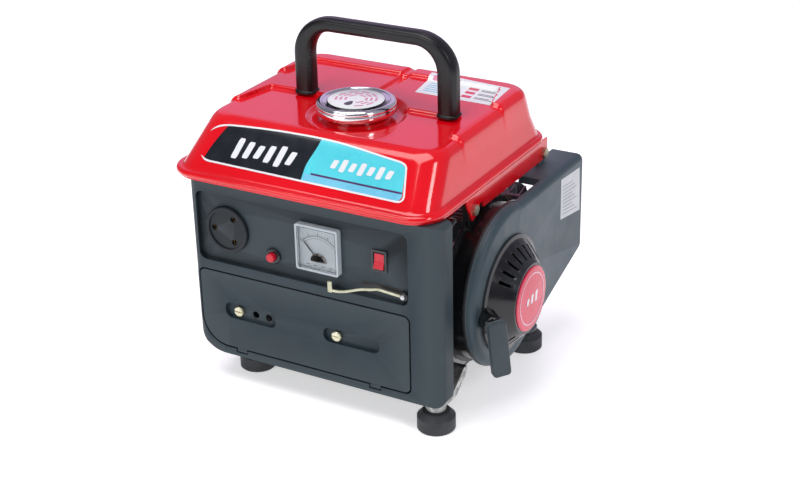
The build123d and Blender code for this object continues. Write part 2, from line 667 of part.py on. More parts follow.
cap_z0 = NECK_TOP_Z - 5.5
cap_z1 = cap_z0 + CAP_H
cap_roof = NECK_TOP_Z + GASKET_T
cap_points = [
    (NECK_R + SLIP_GAP, cap_z0),
    (CAP_R - 1.5, cap_z0),
    (CAP_R, cap_z0 + 1.5),
    (CAP_R, cap_z1 - 4.0),
    (CAP_R - 3.0, cap_z1 - 1.0),
    (CAP_LABEL_R + 3.5, cap_z1 - 0.4),
    (CAP_LABEL_R + 2.5, cap_z1 - 2.0),
    (CAP_LABEL_R, cap_z1 - 0.8),
    (0, cap_z1),
    (0, cap_roof),
    (NECK_R + SLIP_GAP, cap_roof),
]
save("fuel_cap", turned_z(cap_points, CAP_X, CAP_Y))
gasket = rod_z(NECK_R + 0.5, NECK_TOP_Z, cap_roof, CAP_X, CAP_Y)
gasket -= rod_z(NECK_R - 5, NECK_TOP_Z - 1, cap_roof + 1, CAP_X, CAP_Y)
save("cap_gasket", gasket)

# Carrying handle standing on the raised part of the tank.
leg_z = TANK_TOP_Z + STEP_H
left_x = HANDLE_X[0] - HANDLE_LEG_W / 2
right_x = HANDLE_X[1] + HANDLE_LEG_W / 2
handle_y0 = HANDLE_Y - HANDLE_DEPTH / 2
handle_y1 = HANDLE_Y + HANDLE_DEPTH / 2
arch = block(left_x, right_x, handle_y0, handle_y1, leg_z, HANDLE_TOP_Z)
arch = fillet(arch.edges().filter_by(Axis.Y).group_by(Axis.Z)[-1], HANDLE_BEND_R)
void = block(
    left_x + HANDLE_LEG_W, right_x - HANDLE_LEG_W, handle_y0 - 1, handle_y1 + 1, leg_z - 1,
    HANDLE_TOP_Z - HANDLE_BAR_T,
)
void = fillet(void.edges().filter_by(Axis.Y).group_by(Axis.Z)[-1], HANDLE_BEND_R - HANDLE_BAR_T)
arch -= void
rims = [e for e in arch.edges() if abs(e.center().Y - HANDLE_Y) > HANDLE_DEPTH / 2 - 0.01]
rims = [e for e in rims if e.center().Z > leg_z + 0.01]
save("handle", fillet(rims, HANDLE_EDGE_R))

# Sheet brackets carry the tank: one on the fan housing, one on the base.
BRACKET_X = TANK_X1 - 6.0
under_brim = BRIM_Z0 - SHEET_T
side = Plane(origin=(BRACKET_X, 0, 0), x_dir=(0, 1, 0), z_dir=(1, 0, 0))
bracket_low = SHROUD_TOP_Z + 4.5
bracket_outline = make_face(
    Polyline(
        (-74, under_brim),
        (-72, under_brim - 8),
        (-60, bracket_low - 6),
        (-46, bracket_low - 1.5),
        (-44, bracket_low + 7),
        (-38, bracket_low + 7),
        (-36, bracket_low),
        (108, bracket_low),
        (114, bracket_low + 8),
        (114, under_brim),
        close=True,
    )
)
TANK_BOLTS = [(-58.0, 210.0), (104.0, 212.0)]
bracket_right = extrude(side * bracket_outline, SHEET_T)
bracket_right += block(BRACKET_X - 9, BRACKET_X + SHEET_T, -70, 100, under_brim - SHEET_T, under_brim)
for y, z in TANK_BOLTS:
    bracket_right -= rod_x(3.2, BRACKET_X - 1, BRACKET_X + 3, y, z)
save("tank_bracket_right", bracket_right)
LEFT_X = -146.0
bracket_left = block(LEFT_X, LEFT_X + 2, -40, 60, base_top, pan_z0)
bracket_left += block(LEFT_X, LEFT_X + 16, -40, 60, base_top, base_top + 2)
bracket_left += block(LEFT_X, LEFT_X + 16, -40, 60, pan_z0 - 2, pan_z0)
bracket_left -= block(LEFT_X - 1, LEFT_X + 3, -5, 25, 70, 160)
save("tank_bracket_left", bracket_left)
bolt_heads = []
for y, z in TANK_BOLTS:
    head = hex_x(10, BRACKET_X + SHEET_T, BRACKET_X + SHEET_T + 4, y, z)
    bolt_heads.append(head + rod_x(3.0, BRACKET_X - 5, BRACKET_X + SHEET_T + 1, y, z))
save("tank_bolts", group(bolt_heads))


# ---------------------------------------------------------------- cooling side
def on_side(x):
    """Plane across X with Y to the right and Z up."""
    return Plane(origin=(x, 0, 0), x_dir=(0, 1, 0), z_dir=(1, 0, 0))


def volute(inset):
    """Side outline of the shroud: a round front with a squared rear."""
    r = VOLUTE_R - inset
    rear = SHROUD_REAR_Y - inset
    low = SHROUD_LOW_Z + inset * 0.5
    top = SHROUD_TOP_Z - inset
    gap_y = rear - VOLUTE_Y
    gap_z = low - VOLUTE_Z
    reach = math.hypot(gap_y, gap_z)
    angle = math.atan2(gap_z, gap_y) - math.acos(r / reach)
    touch = (VOLUTE_Y + r * math.cos(angle), VOLUTE_Z + r * math.sin(angle))
    climb = math.acos((top - VOLUTE_Z) / r)
    crown = (VOLUTE_Y + r * math.sin(climb), top)
    tail = make_face(Polyline((VOLUTE_Y, VOLUTE_Z), touch, (rear, low), (rear, top), crown, close=True))
    corners = tail.vertices().group_by(Axis.X)[-1]
    tail = fillet(corners, 9)
    return Pos(VOLUTE_Y, VOLUTE_Z) * Circle(r) + tail


def shroud_solid(inset, x_face):
    """Shallow round part with a deep rear part."""
    face = extrude(on_side(HOUSING_X1) * volute(inset), x_face - HOUSING_X1)
    deep = extrude(on_side(SHROUD_REAR_X0) * volute(inset), x_face - SHROUD_REAR_X0)
    deep &= block(0, 400, SHROUD_SPLIT_Y + inset, 400, 0, 400)
    return face + deep


shroud = shroud_solid(0, SHROUD_X1)
shroud = fillet(shroud.edges().group_by(Axis.X)[-1], SHROUD_EDGE_R)
hollow = shroud_solid(SHROUD_T, SHROUD_X1 - SHROUD_T)
shroud -= hollow
shroud -= extrude(on_side(HOUSING_X1 - 1) * volute(SHROUD_T), 2)
shroud -= block(
    SHROUD_REAR_X0 - 1, HOUSING_X1 - 1, SHROUD_SPLIT_Y - 1, SHROUD_SPLIT_Y + SHROUD_T + 1,
    SHROUD_LOW_Z, SHROUD_TOP_Z - 8,
)
recoil_hole_r = RECOIL_R - 6
shroud -= rod_x(recoil_hole_r, HOUSING_X1, SHROUD_X1 + 1)
lug_z = TANK_BOLTS[1][1]
lug_y = TANK_BOLTS[1][0]
shroud += block(BRACKET_X - 4, BRACKET_X, lug_y - 7, lug_y + 7, SHROUD_TOP_Z - 1, lug_z + 6)
shroud -= rod_x(3.0 + FIT_GAP, BRACKET_X - 6, BRACKET_X + 1, lug_y, lug_z)
save("shroud", shroud)

housing = rod_x(HOUSING_R, HOUSING_X0, HOUSING_X1, VOLUTE_Y, VOLUTE_Z)
housing += rod_x(VOLUTE_R + 1.5, HOUSING_X0, HOUSING_X0 + 2.5, VOLUTE_Y, VOLUTE_Z)
housing += rod_x(VOLUTE_R + 1.0, HOUSING_X1 - 2.5, HOUSING_X1, VOLUTE_Y, VOLUTE_Z)
housing -= rod_x(HOUSING_R - 2.5, HOUSING_X0 + 2.5, HOUSING_X1 + 1, VOLUTE_Y, VOLUTE_Z)
housing -= rod_x(CASE_R * 0.6, HOUSING_X0 - 1, HOUSING_X1)
housing -= block(HOUSING_X0 - 1, HOUSING_X1 + 1, 42, 90, 60, 190)
lug_y, lug_z = TANK_BOLTS[0]
lug = block(HOUSING_X0, BRACKET_X, lug_y - 7, lug_y + 7, lug_z - 30, lug_z + 7)
lug -= rod_x(HOUSING_R - 1, HOUSING_X0 - 1, BRACKET_X + 1, VOLUTE_Y, VOLUTE_Z)
lug -= rod_x(3.0 + FIT_GAP, BRACKET_X - 6, BRACKET_X + 1, lug_y, lug_z)
housing += lug
save("fan_housing", housing)

# Flywheel with its cooling blades.
flywheel_x0 = HOUSING_X0 + 5.0
flywheel_x1 = HOUSING_X1 - 2.0
flywheel = rod_x(FAN_R - 22, flywheel_x0, flywheel_x0 + 14)
flywheel += rod_x(FAN_R, flywheel_x0, flywheel_x0 + 3)
flywheel += rod_x(14, flywheel_x0, flywheel_x1)
blade = block(
    flywheel_x0 + 2, flywheel_x1, CRANK_Y - 1, CRANK_Y + 1, CRANK_Z + FAN_R - 26, CRANK_Z + FAN_R - 1
)
crank_axis = Axis((0, CRANK_Y, CRANK_Z), (1, 0, 0))
for index in range(FAN_BLADES):
    flywheel += blade.rotate(crank_axis, index * 360 / FAN_BLADES)
flywheel -= rod_x(SHAFT_R, flywheel_x0 - 1, flywheel_x1 + 1)
save("flywheel_fan", flywheel)

# Recoil starter cover with radial slots, its label, spring and pulley.
flange_x = SHROUD_X1 + RECOIL_FLANGE_T
cover_points = [
    (SHROUD_X1, 0),
    (SHROUD_X1, RECOIL_R),
    (flange_x, RECOIL_R),
    (flange_x + 1, RECOIL_R - 4),
    (RECOIL_TOP_X, RECOIL_TOP_R),
    (RECOIL_TOP_X, 0),
]
recoil_room = turned_x(
    [
        (SHROUD_X1 - 1, 0),
        (SHROUD_X1 - 1, RECOIL_R - 5),
        (flange_x, RECOIL_R - 6),
        (RECOIL_TOP_X - RECOIL_T, RECOIL_TOP_R - RECOIL_T),
        (RECOIL_TOP_X - RECOIL_T, 0),
    ]
)
recoil = turned_x(cover_points) - recoil_room
SLOT_W = 3.4
SLOT_COUNT = 28
slot_low = RECOIL_TOP_R + 4
slot_high = RECOIL_R - 9
slot = block(
    flange_x + 2, RECOIL_TOP_X + 2, CRANK_Y - SLOT_W / 2, CRANK_Y + SLOT_W / 2,
    CRANK_Z + slot_low, CRANK_Z + slot_high,
)
for index in range(SLOT_COUNT):
    turn = index * 360 / SLOT_COUNT
    if not 60 < turn < 130:
        recoil -= slot.rotate(crank_axis, turn)

nose_x, nose_y = NOSE_START
nose_dir = (math.cos(math.radians(NOSE_ANGLE)), math.sin(math.radians(NOSE_ANGLE)))
nose_plane = Plane(origin=(nose_x, nose_y, NOSE_Z), z_dir=(nose_dir[0], nose_dir[1], 0))
nose = extrude(nose_plane * Circle(NOSE_R), NOSE_L)
nose = fillet(nose.edges().filter_by(GeomType.CIRCLE).sort_by(Axis.X)[-1], 3)
nose += extrude(nose_plane * Circle(NOSE_R), -14)
nose &= block(SHROUD_X1, 300, -300, 300, 0, 300)
recoil += nose - recoil_room
POST_R = 6.0
recoil += rod_x(POST_R, PULLEY_X0 + 0.5, RECOIL_TOP_X - RECOIL_T + 0.5)

# The rope leaves the pulley groove at a tangent and bends in the nose.
groove_r = PULLEY_R - GROOVE_D + ROPE_R + 0.2
rope_x = (PULLEY_X0 + PULLEY_X1) / 2
bend_s = (rope_x - nose_x) / nose_dir[0]
bend_y = nose_y + bend_s * nose_dir[1]
reach_y = bend_y - CRANK_Y
reach_z = NOSE_Z - CRANK_Z
reach = math.hypot(reach_y, reach_z)
leave = math.atan2(reach_z, reach_y) + math.acos(groove_r / reach)
leave_y = CRANK_Y + groove_r * math.cos(leave)
leave_z = CRANK_Z + groove_r * math.sin(leave)
run_l = math.sqrt(reach**2 - groove_r**2)
run_plane = Plane(
    origin=(rope_x, bend_y, NOSE_Z), x_dir=(1, 0, 0), z_dir=(0, leave_y - bend_y, leave_z - NOSE_Z)
)
bend_plane = Plane(origin=(rope_x, bend_y, NOSE_Z), z_dir=nose_plane.z_dir)
rope_out = NOSE_L - bend_s + 3.0


def rope_path(r, inner, outer):
    """Round path along the rope, from the pulley side to the grip side."""
    path = extrude(run_plane * Circle(r), inner) + Pos(rope_x, bend_y, NOSE_Z) * Sphere(r)
    return path + extrude(bend_plane * Circle(r), outer)


recoil -= rope_path(ROPE_R + 0.8, run_l - 4, rope_out + 1)
save("recoil_cover", recoil)
save("recoil_label", rod_x(LABEL_R, RECOIL_TOP_X, RECOIL_TOP_X + LABEL_T))
save("pull_rope", rope_path(ROPE_R, run_l, rope_out))

pulley = turned_x(
    [
        (PULLEY_X0, POST_R + RUN_GAP),
        (PULLEY_X0, PULLEY_R),
        (PULLEY_X0 + 0.6, PULLEY_R),
        (PULLEY_X0 + 1.4, PULLEY_R - GROOVE_D),
        (PULLEY_X1 - 1.4, PULLEY_R - GROOVE_D),
        (PULLEY_X1 - 0.6, PULLEY_R),
        (PULLEY_X1, PULLEY_R),
        (PULLEY_X1, POST_R + RUN_GAP),
    ]
)
PULLEY_WINDOWS = 6
pulley_window = rod_x(6.5, PULLEY_X0 - 1, PULLEY_X1 + 1, CRANK_Y, CRANK_Z + 22)
for index in range(PULLEY_WINDOWS):
    pulley -= pulley_window.rotate(crank_axis, index * 360 / PULLEY_WINDOWS)
save("recoil_pulley", pulley)

SPRING_TURNS = 5
SPRING_STEPS = 24
SPRING_R0 = POST_R
SPRING_PITCH = 4.4
SPRING_T = 1.0
inner_line = []
outer_line = []
for index in range(SPRING_TURNS * SPRING_STEPS + 1):
    angle = index * 2 * math.pi / SPRING_STEPS
    radius = SPRING_R0 + SPRING_PITCH * index / SPRING_STEPS
    inner_line.append((radius * math.cos(angle), radius * math.sin(angle)))
    outer_line.append(((radius + SPRING_T) * math.cos(angle), (radius + SPRING_T) * math.sin(angle)))
spiral = make_face(Polyline(*inner_line, *reversed(outer_line), close=True))
spring_plane = Plane(origin=(PULLEY_X1 + 1.0, CRANK_Y, CRANK_Z), x_dir=(0, 1, 0), z_dir=(1, 0, 0))
save("recoil_spring", extrude(spring_plane * spiral, 7.0) - rod_x(POST_R, PULLEY_X1, RECOIL_TOP_X))

# Pull grip hanging at the end of the rope.
grip_s = NOSE_L + 3.0
grip_at = (nose_x + grip_s * nose_dir[0], nose_y + grip_s * nose_dir[1], NOSE_Z)
grip_plane = Plane(origin=grip_at, x_dir=(-nose_dir[1], nose_dir[0], 0), z_dir=nose_plane.z_dir)
grip_top = 9.0
grip_face = Pos(0, grip_top - GRIP_L / 2) * RectangleRounded(GRIP_W, GRIP_L, 4)
grip = extrude(grip_plane * Rot(0, 0, GRIP_LEAN) * grip_face, GRIP_T)
grip = fillet(grip.edges().group_by(Axis((0, 0, 0), (nose_dir[0], nose_dir[1], 0)))[-1], 2.0)
save("pull_grip", grip)

# ---------------------------------------------------------------- engine
cavity_r = WEB_R + 3.0
case = rod_x(CASE_R, CASE_X0, CASE_X1)
case += tilted(
    block(
        CASE_X0, CASE_X1, 0, CYL_BASE_Y, -CASE_R + 4, CASE_R - 4
    )
)
case += block(CASE_X0 + 6, CASE_X1 - 6, CRANK_Y - 36, CRANK_Y + 40, base_top, CRANK_Z - 20)
case += rod_x(30, ALT_X1, CASE_X0 + 1)
case += rod_x(CASE_R * 0.6 - FIT_GAP, CASE_X1 - 1, HOUSING_X0 + 2.5)
reed_y0 = CRANK_Y - CASE_R - 8
case += block(ENGINE_X - 17, ENGINE_X + 19, reed_y0, CRANK_Y - 20, 98, 142)
case += block(CASE_X1 - 26, HOUSING_X0 - 1, CASE_LUG_Y0, CRANK_Y - 20, 62, 74)
bearing_r = 19.0
bearing_w = 10.0
left_bearing_x = CASE_X0 - 5.0
right_bearing_x = CASE_X1 - 5.0
case -= rod_x(cavity_r, CASE_X0 + CASE_T, CASE_X1 - CASE_T)
case -= rod_x(SHAFT_R + 1, ALT_X1 - 1, HOUSING_X0 + 4)
for x in (left_bearing_x, right_bearing_x):
    case -= rod_x(bearing_r + FIT_GAP, x, x + bearing_w)
case -= rod_x(bearing_r + FIT_GAP, CASE_X0 - 1, CASE_X0 + CASE_T + 1)
case -= rod_x(bearing_r + FIT_GAP, CASE_X1 - CASE_T - 1, CASE_X1)
skirt_r = BORE_R + LINER_T + FIT_GAP


def along(r, y0, y1):
    """Cylinder along the tilted cylinder axis, measured from the crank axis."""
    return tilted(rod_y(r, y0, y1, ENGINE_X, 0))


case -= along(skirt_r, 10, CYL_BASE_Y + 1)
case -= rod_y(11, reed_y0 - 1, CRANK_Y - 20, ENGINE_X, 120)
left_half = case & block(0, ENGINE_X, -200, 200, 0, 250)
right_half = case & block(ENGINE_X, 200, -200, 200, 0, 250)
save("crankcase_left", left_half)
save("crankcase_right", right_half)

bearings = []
for x in (left_bearing_x, right_bearing_x):
    outer_race = rod_x(bearing_r, x, x + bearing_w) - rod_x(bearing_r - 4, x - 1, x + bearing_w + 1)
    inner_race = rod_x(SHAFT_R + 3.5, x, x + bearing_w) - rod_x(
        SHAFT_R + 0.05, x - 1, x + bearing_w + 1
    )
    cage = rod_x(bearing_r - 4, x + 3, x + bearing_w - 3) - rod_x(SHAFT_R + 3.5, x, x + bearing_w)
    bearings.append(outer_race + inner_race + cage)
save("main_bearings", group(bearings))

half_gap = WEB_GAP / 2
long_half = rod_x(SHAFT_R, ALT_X0 + 8, ENGINE_X - half_gap)
long_half += rod_x(WEB_R, ENGINE_X - half_gap - WEB_T, ENGINE_X - half_gap)
short_half = rod_x(SHAFT_R, ENGINE_X + half_gap, HOUSING_X1 + 4)
short_half += rod_x(WEB_R, ENGINE_X + half_gap, ENGINE_X + half_gap + WEB_T)
save("crankshaft", group([long_half, short_half]))

# Connecting rod with its crank pin, and the piston, at the top of the stroke.
throw = STROKE / 2
pin_half = half_gap - RUN_GAP
ROD_T = WEB_GAP - 1.0
big_r = PIN_R + 5.0
small_y = throw + ROD_L
wrist_r = 5.0
rod = rod_x(big_r, ENGINE_X - ROD_T / 2, ENGINE_X + ROD_T / 2, throw, 0)
rod += rod_x(wrist_r + 4, ENGINE_X - ROD_T / 2, ENGINE_X + ROD_T / 2, small_y, 0)
rod += block(ENGINE_X - 3, ENGINE_X + 3, throw, small_y, -5, 5)
rod += rod_x(PIN_R, ENGINE_X - pin_half, ENGINE_X + pin_half, throw, 0)
rod -= rod_x(wrist_r + FIT_GAP, ENGINE_X - 20, ENGINE_X + 20, small_y, 0)
save("connecting_rod", tilted(rod))
piston_r = BORE_R - FIT_GAP
crown_y = small_y + 18
piston = rod_y(piston_r, small_y - 18, crown_y, ENGINE_X, 0)
piston -= rod_y(piston_r - 3, small_y - 19, crown_y - 5, ENGINE_X, 0)
for y in (crown_y - 5, crown_y - 9):
    groove = rod_y(piston_r + 1, y, y + 1.5, ENGINE_X, 0)
    piston -= groove - rod_y(piston_r - 1.2, y - 1, y + 3, ENGINE_X, 0)
piston += rod_x(wrist_r, ENGINE_X - piston_r + 1.5, ENGINE_X + piston_r - 1.5, small_y, 0)
save("piston", tilted(piston))

barrel_r = BORE_R + LINER_T
head_y = crown_y + 1.5
barrel = rod_y(barrel_r, CYL_BASE_Y - 14, head_y, ENGINE_X, 0)
barrel += block(ENGINE_X - FIN_HALF_X, ENGINE_X + FIN_HALF_X, CYL_BASE_Y, CYL_BASE_Y + 5, -31, 31)
barrel += rod_y(barrel_r + 1.5, CYL_BASE_Y, head_y, ENGINE_X, 0)
for index in range(FIN_COUNT):
    y = CYL_BASE_Y + 11 + index * FIN_PITCH
    fin = block(ENGINE_X - FIN_HALF_X, ENGINE_X + FIN_HALF_X, y, y + FIN_T, -FIN_HALF_Z, FIN_HALF_Z)
    barrel += fillet(fin.edges().filter_by(Axis.Y), 8)
PORT_Y = CYL_BASE_Y + 32
barrel += block(ENGINE_X - FIN_HALF_X - 3, ENGINE_X, PORT_Y - 15, PORT_Y + 15, -15, 15)
barrel -= rod_y(BORE_R, CYL_BASE_Y - 15, head_y + 1, ENGINE_X, 0)
barrel -= rod_x(9, ENGINE_X - FIN_HALF_X - 4, ENGINE_X, PORT_Y, 0)
save("cylinder", tilted(barrel))

head_y1 = head_y + HEAD_T
head = rod_y(barrel_r + 5, head_y, head_y1, ENGINE_X, 0)
head += block(ENGINE_X - FIN_HALF_X, ENGINE_X + FIN_HALF_X, head_y + 2, head_y1 - 4, -30, 30)
for index in range(5):
    x = ENGINE_X - FIN_HALF_X + 4 + index * (2 * FIN_HALF_X - 8 - FIN_T) / 4
    head += block(x, x + FIN_T, head_y1 - 5, head_y1 + 12, -30, 30)
head += rod_y(12, head_y1 - 1, head_y1 + 3, ENGINE_X, 0)
head -= rod_y(BORE_R - 4, head_y - 1, head_y + 5, ENGINE_X, 0)
PLUG_R = 7.0
head -= rod_y(PLUG_R, head_y, head_y1 + 4, ENGINE_X, 0)
head -= rod_y(13, head_y1 + 3, head_y1 + 14, ENGINE_X, 0)
save("cylinder_head", tilted(head))

plug_seat = head_y1 + 3
plug = rod_y(PLUG_R - FIT_GAP, head_y + 2, plug_seat, ENGINE_X, 0)
plug_plane = Plane(origin=(ENGINE_X, plug_seat, 0), x_dir=(1, 0, 0), z_dir=(0, 1, 0))
plug += extrude(plug_plane * RegularPolygon(9.5, 6, major_radius=False), 9)
plug += rod_y(6, plug_seat + 9, plug_seat + 24, ENGINE_X, 0)
plug += rod_y(2.8, plug_seat + 24, plug_seat + 32, ENGINE_X, 0)
save("spark_plug", tilted(plug))
boot = rod_y(11, plug_seat + 11, plug_seat + 38, ENGINE_X, 0)
boot = fillet(boot.edges().group_by(Axis.Y)[-1], 4)
boot -= rod_y(6 + RUN_GAP, plug_seat + 10, plug_seat + 24.5, ENGINE_X, 0)
boot -= rod_y(2.8 + RUN_GAP, plug_seat + 24, plug_seat + 33, ENGINE_X, 0)
save("plug_cap", tilted(boot))

# Ignition coil inside the fan housing above the flywheel.
coil_x0 = flywheel_x0 + 4.0
coil = block(
    coil_x0, coil_x0 + 12, CRANK_Y - 11, CRANK_Y + 11, CRANK_Z + FAN_R + 1.5, CRANK_Z + FAN_R + 15
)
coil = coil.rotate(crank_axis, -COIL_ANGLE)
save("ignition_coil", coil)

# ---------------------------------------------------------------- alternator
shell = rod_x(ALT_R, ALT_X0, ALT_X1)
shell = fillet(shell.edges().group_by(Axis.X)[0], 8)
shell -= rod_x(ALT_R - ALT_SHELL_T, ALT_X0 + 4, ALT_X1 - 4)
shell -= rod_x(SHAFT_R + 1, ALT_X1 - 5, ALT_X1 + 1)
shell += rod_x(16, ALT_X0 + 3, ALT_X0 + 16) - rod_x(SHAFT_R + RUN_GAP, ALT_X0 + 5, ALT_X0 + 17)
END_VENTS = 12
SIDE_VENTS = (1, 2, 3, 9, 10, 11)
end_vent = block(ALT_X0 - 1, ALT_X0 + 6, CRANK_Y - 2.5, CRANK_Y + 2.5, CRANK_Z + 24, CRANK_Z + 46)
side_vent = block(ALT_X1 - 16, ALT_X1 - 8, CRANK_Y - 8, CRANK_Y + 8, CRANK_Z + 50, CRANK_Z + 62)
for index in range(END_VENTS):
    shell -= end_vent.rotate(crank_axis, index * 360 / END_VENTS)
for index in SIDE_VENTS:
    shell -= side_vent.rotate(crank_axis, index * 360 / END_VENTS)
shell += block(-40, 10, CRANK_Y - 40, CRANK_Y + 56, base_top, CRANK_Z - 47) - rod_x(
    ALT_R - 1, -60, 40
)
save("alternator_case", shell)

stator = rod_x(ALT_R - ALT_SHELL_T - 0.05, STATOR_X0, STATOR_X1)
stator += rod_x(ALT_R - 10, STATOR_X0 - 9, STATOR_X1 + 9)
stator -= rod_x(STATOR_BORE_R, STATOR_X0 - 10, STATOR_X1 + 10)
save("stator", stator)
rotor = rod_x(ROTOR_R, STATOR_X0 + 2, STATOR_X1 - 2)
flat = block(STATOR_X0, STATOR_X1, CRANK_Y - 40, CRANK_Y + 40, CRANK_Z + 18, CRANK_Z + 40)
rotor -= flat + flat.rotate(crank_axis, 180)
rotor += rod_x(14, STATOR_X0 - 14, STATOR_X0 + 2)
rotor -= rod_x(SHAFT_R, STATOR_X0 - 16, STATOR_X1)
save("alternator_rotor", rotor)

# ---------------------------------------------------------------- exhaust
box = block(MUFFLER_X0, MUFFLER_X1, MUFFLER_Y0, MUFFLER_Y1, MUFFLER_Z0, MUFFLER_Z1)
box = fillet(box.edges().filter_by(Axis.X), 14)
box = fillet(box.edges().group_by(Axis.X)[0] + box.edges().group_by(Axis.X)[-1], 4)
skin = block(
    MUFFLER_X0 + 2, MUFFLER_X1 - 2, MUFFLER_Y0 + 2, MUFFLER_Y1 - 2, MUFFLER_Z0 + 2, MUFFLER_Z1 - 2
)
box -= fillet(skin.edges().filter_by(Axis.X), 12)
port_x = ENGINE_X - FIN_HALF_X - 3
tilt = math.radians(CYL_TILT)
port_y = CRANK_Y + PORT_Y * math.cos(tilt)
port_z = CRANK_Z + PORT_Y * math.sin(tilt)
box += rod_x(12, MUFFLER_X1 - 1, port_x, max(port_y, MUFFLER_Y0 + 13), port_z)
box -= rod_x(9, MUFFLER_X1 - 3, port_x + 1, max(port_y, MUFFLER_Y0 + 13), port_z)
OUTLET_X = -40.0
OUTLET_Z = 128.0
box += rod_y(8, MUFFLER_Y1 - 1, MUFFLER_Y1 + 14, OUTLET_X, OUTLET_Z)
box -= rod_y(6.5, MUFFLER_Y1 - 3, MUFFLER_Y1 + 15, OUTLET_X, OUTLET_Z)
box += block(-44, 20, MUFFLER_Y0 + 20, MUFFLER_Y0 + 24, base_top, MUFFLER_Z0 + 1)
save("muffler", box)

GUARD_COLUMNS = 9
GUARD_ROWS = 4
guard_y = MUFFLER_Y1 + 10.0
guard = plate_xz(MUFFLER_X0 - 6, MUFFLER_X1 + 6, 60, 160, 8, guard_y, guard_y + 1.5)
guard += block(MUFFLER_X0 - 6, MUFFLER_X1 + 6, BASE_Y1 - BASE_T - 6, guard_y + 1.5, 60, 61.5)
guard += block(-50, -20, BASE_Y1, BASE_Y1 + 1.5, FOOT_H + 4, 61.5)
guard += block(0, 30, BASE_Y1, BASE_Y1 + 1.5, FOOT_H + 4, 61.5)
for column in range(GUARD_COLUMNS):
    x = MUFFLER_X0 + 7 + column * 12.5
    for row in range(GUARD_ROWS):
        z = 78 + row * 21
        guard -= plate_xz(x - 3, x + 3, z - 8, z + 8, 2.9, guard_y - 1, guard_y + 3)
guard -= rod_y(9, guard_y - 1, guard_y + 3, OUTLET_X, OUTLET_Z)
save("muffler_guard", guard)

# ---------------------------------------------------------------- fuel and air
CARB_Z = 120.0
carb_y0 = choke_end_y - 4
carb = block(ENGINE_X - 13, ENGINE_X + 15, carb_y0, reed_y0, 104, 138)
carb = fillet(carb.edges().filter_by(Axis.Z), 4)
carb += rod_z(10, 92, 104, ENGINE_X, (carb_y0 + reed_y0) / 2 - 1)
carb += block(ENGINE_X, ENGINE_X + 14, carb_y0 + 1, carb_y0 + 12, 136, 152)
carb += rod_z(3.0, 136, 160, ENGINE_X - 5, (carb_y0 + reed_y0) / 2)
carb -= rod_y(9, carb_y0 - 1, reed_y0 + 1, ENGINE_X, CARB_Z)
carb -= rod_y(CHOKE_SHAFT_R + RUN_GAP, carb_y0 - 1, choke_end_y + 3, CHOKE_X, CHOKE_Z)
save("carburettor", carb)

cleaner_y0 = -136.0
cleaner = block(26, 94, cleaner_y0, carb_y0, 56, 134)
cleaner = fillet(cleaner.edges().filter_by(Axis.Y), 10)
cleaner_room = block(29, 91, cleaner_y0 + 3, carb_y0 - 3, 59, 131)
cleaner -= fillet(cleaner_room.edges().filter_by(Axis.Y), 8)
cleaner -= rod_y(9, carb_y0 - 4, carb_y0 + 1, ENGINE_X, CARB_Z)
for index in range(4):
    cleaner -= block(34 + index * 10, 38 + index * 10, -128, -112, 50, 60)
save("air_cleaner", cleaner)
filter_pad = block(30, 90, cleaner_y0 + 8, cleaner_y0 + 20, 60, 130)
save("air_filter", fillet(filter_pad.edges().filter_by(Axis.Y), 7))

tap_low_z = pan_z0 - 18.0
tap = rod_z(9, tap_low_z, pan_z0, TAP_X, TAP_Y)
tap += rod_z(4.9, pan_z0 - 1, pan_z0 + 24, TAP_X, TAP_Y)
tap += rod_x(6, TAP_X, TAP_X + 16, TAP_Y, tap_low_z + 8)
tap += rod_z(3.0, tap_low_z - 12, tap_low_z + 1, TAP_X, TAP_Y)
tap -= rod_z(1.6, tap_low_z - 13, pan_z0 + 25, TAP_X, TAP_Y)
save("fuel_tap", tap)
tap_knob = rod_x(12, TAP_X + 16 + RUN_GAP, TAP_X + 27, TAP_Y, tap_low_z + 8)
tap_knob = fillet(tap_knob.edges().group_by(Axis.X)[-1], 4)
tap_knob += block(TAP_X + 18, TAP_X + 25, TAP_Y - 4, TAP_Y + 19, tap_low_z + 4, tap_low_z + 12)
save("fuel_tap_lever", tap_knob)

carb_pipe_x = ENGINE_X - 5
carb_pipe_y = (carb_y0 + reed_y0) / 2
hose_top = tap_low_z - 13
hose_foot = 162.0
hose_line = Line((TAP_X, TAP_Y, tap_low_z - 1), (TAP_X, TAP_Y, hose_top))
hose_line += Spline(
    (TAP_X, TAP_Y, hose_top),
    (carb_pipe_x, carb_pipe_y, hose_foot),
    tangents=((0, 0, -1), (0, 0, -1)),
)
hose_line += Line((carb_pipe_x, carb_pipe_y, hose_foot), (carb_pipe_x, carb_pipe_y, hose_foot - 12))
hose_start = Plane(origin=(TAP_X, TAP_Y, tap_low_z - 1), z_dir=(0, 0, -1))
hose = sweep(hose_start * Circle(5.0), path=hose_line)
hose -= sweep(hose_start * Circle(3.2), path=hose_line)
save("fuel_hose", hose)

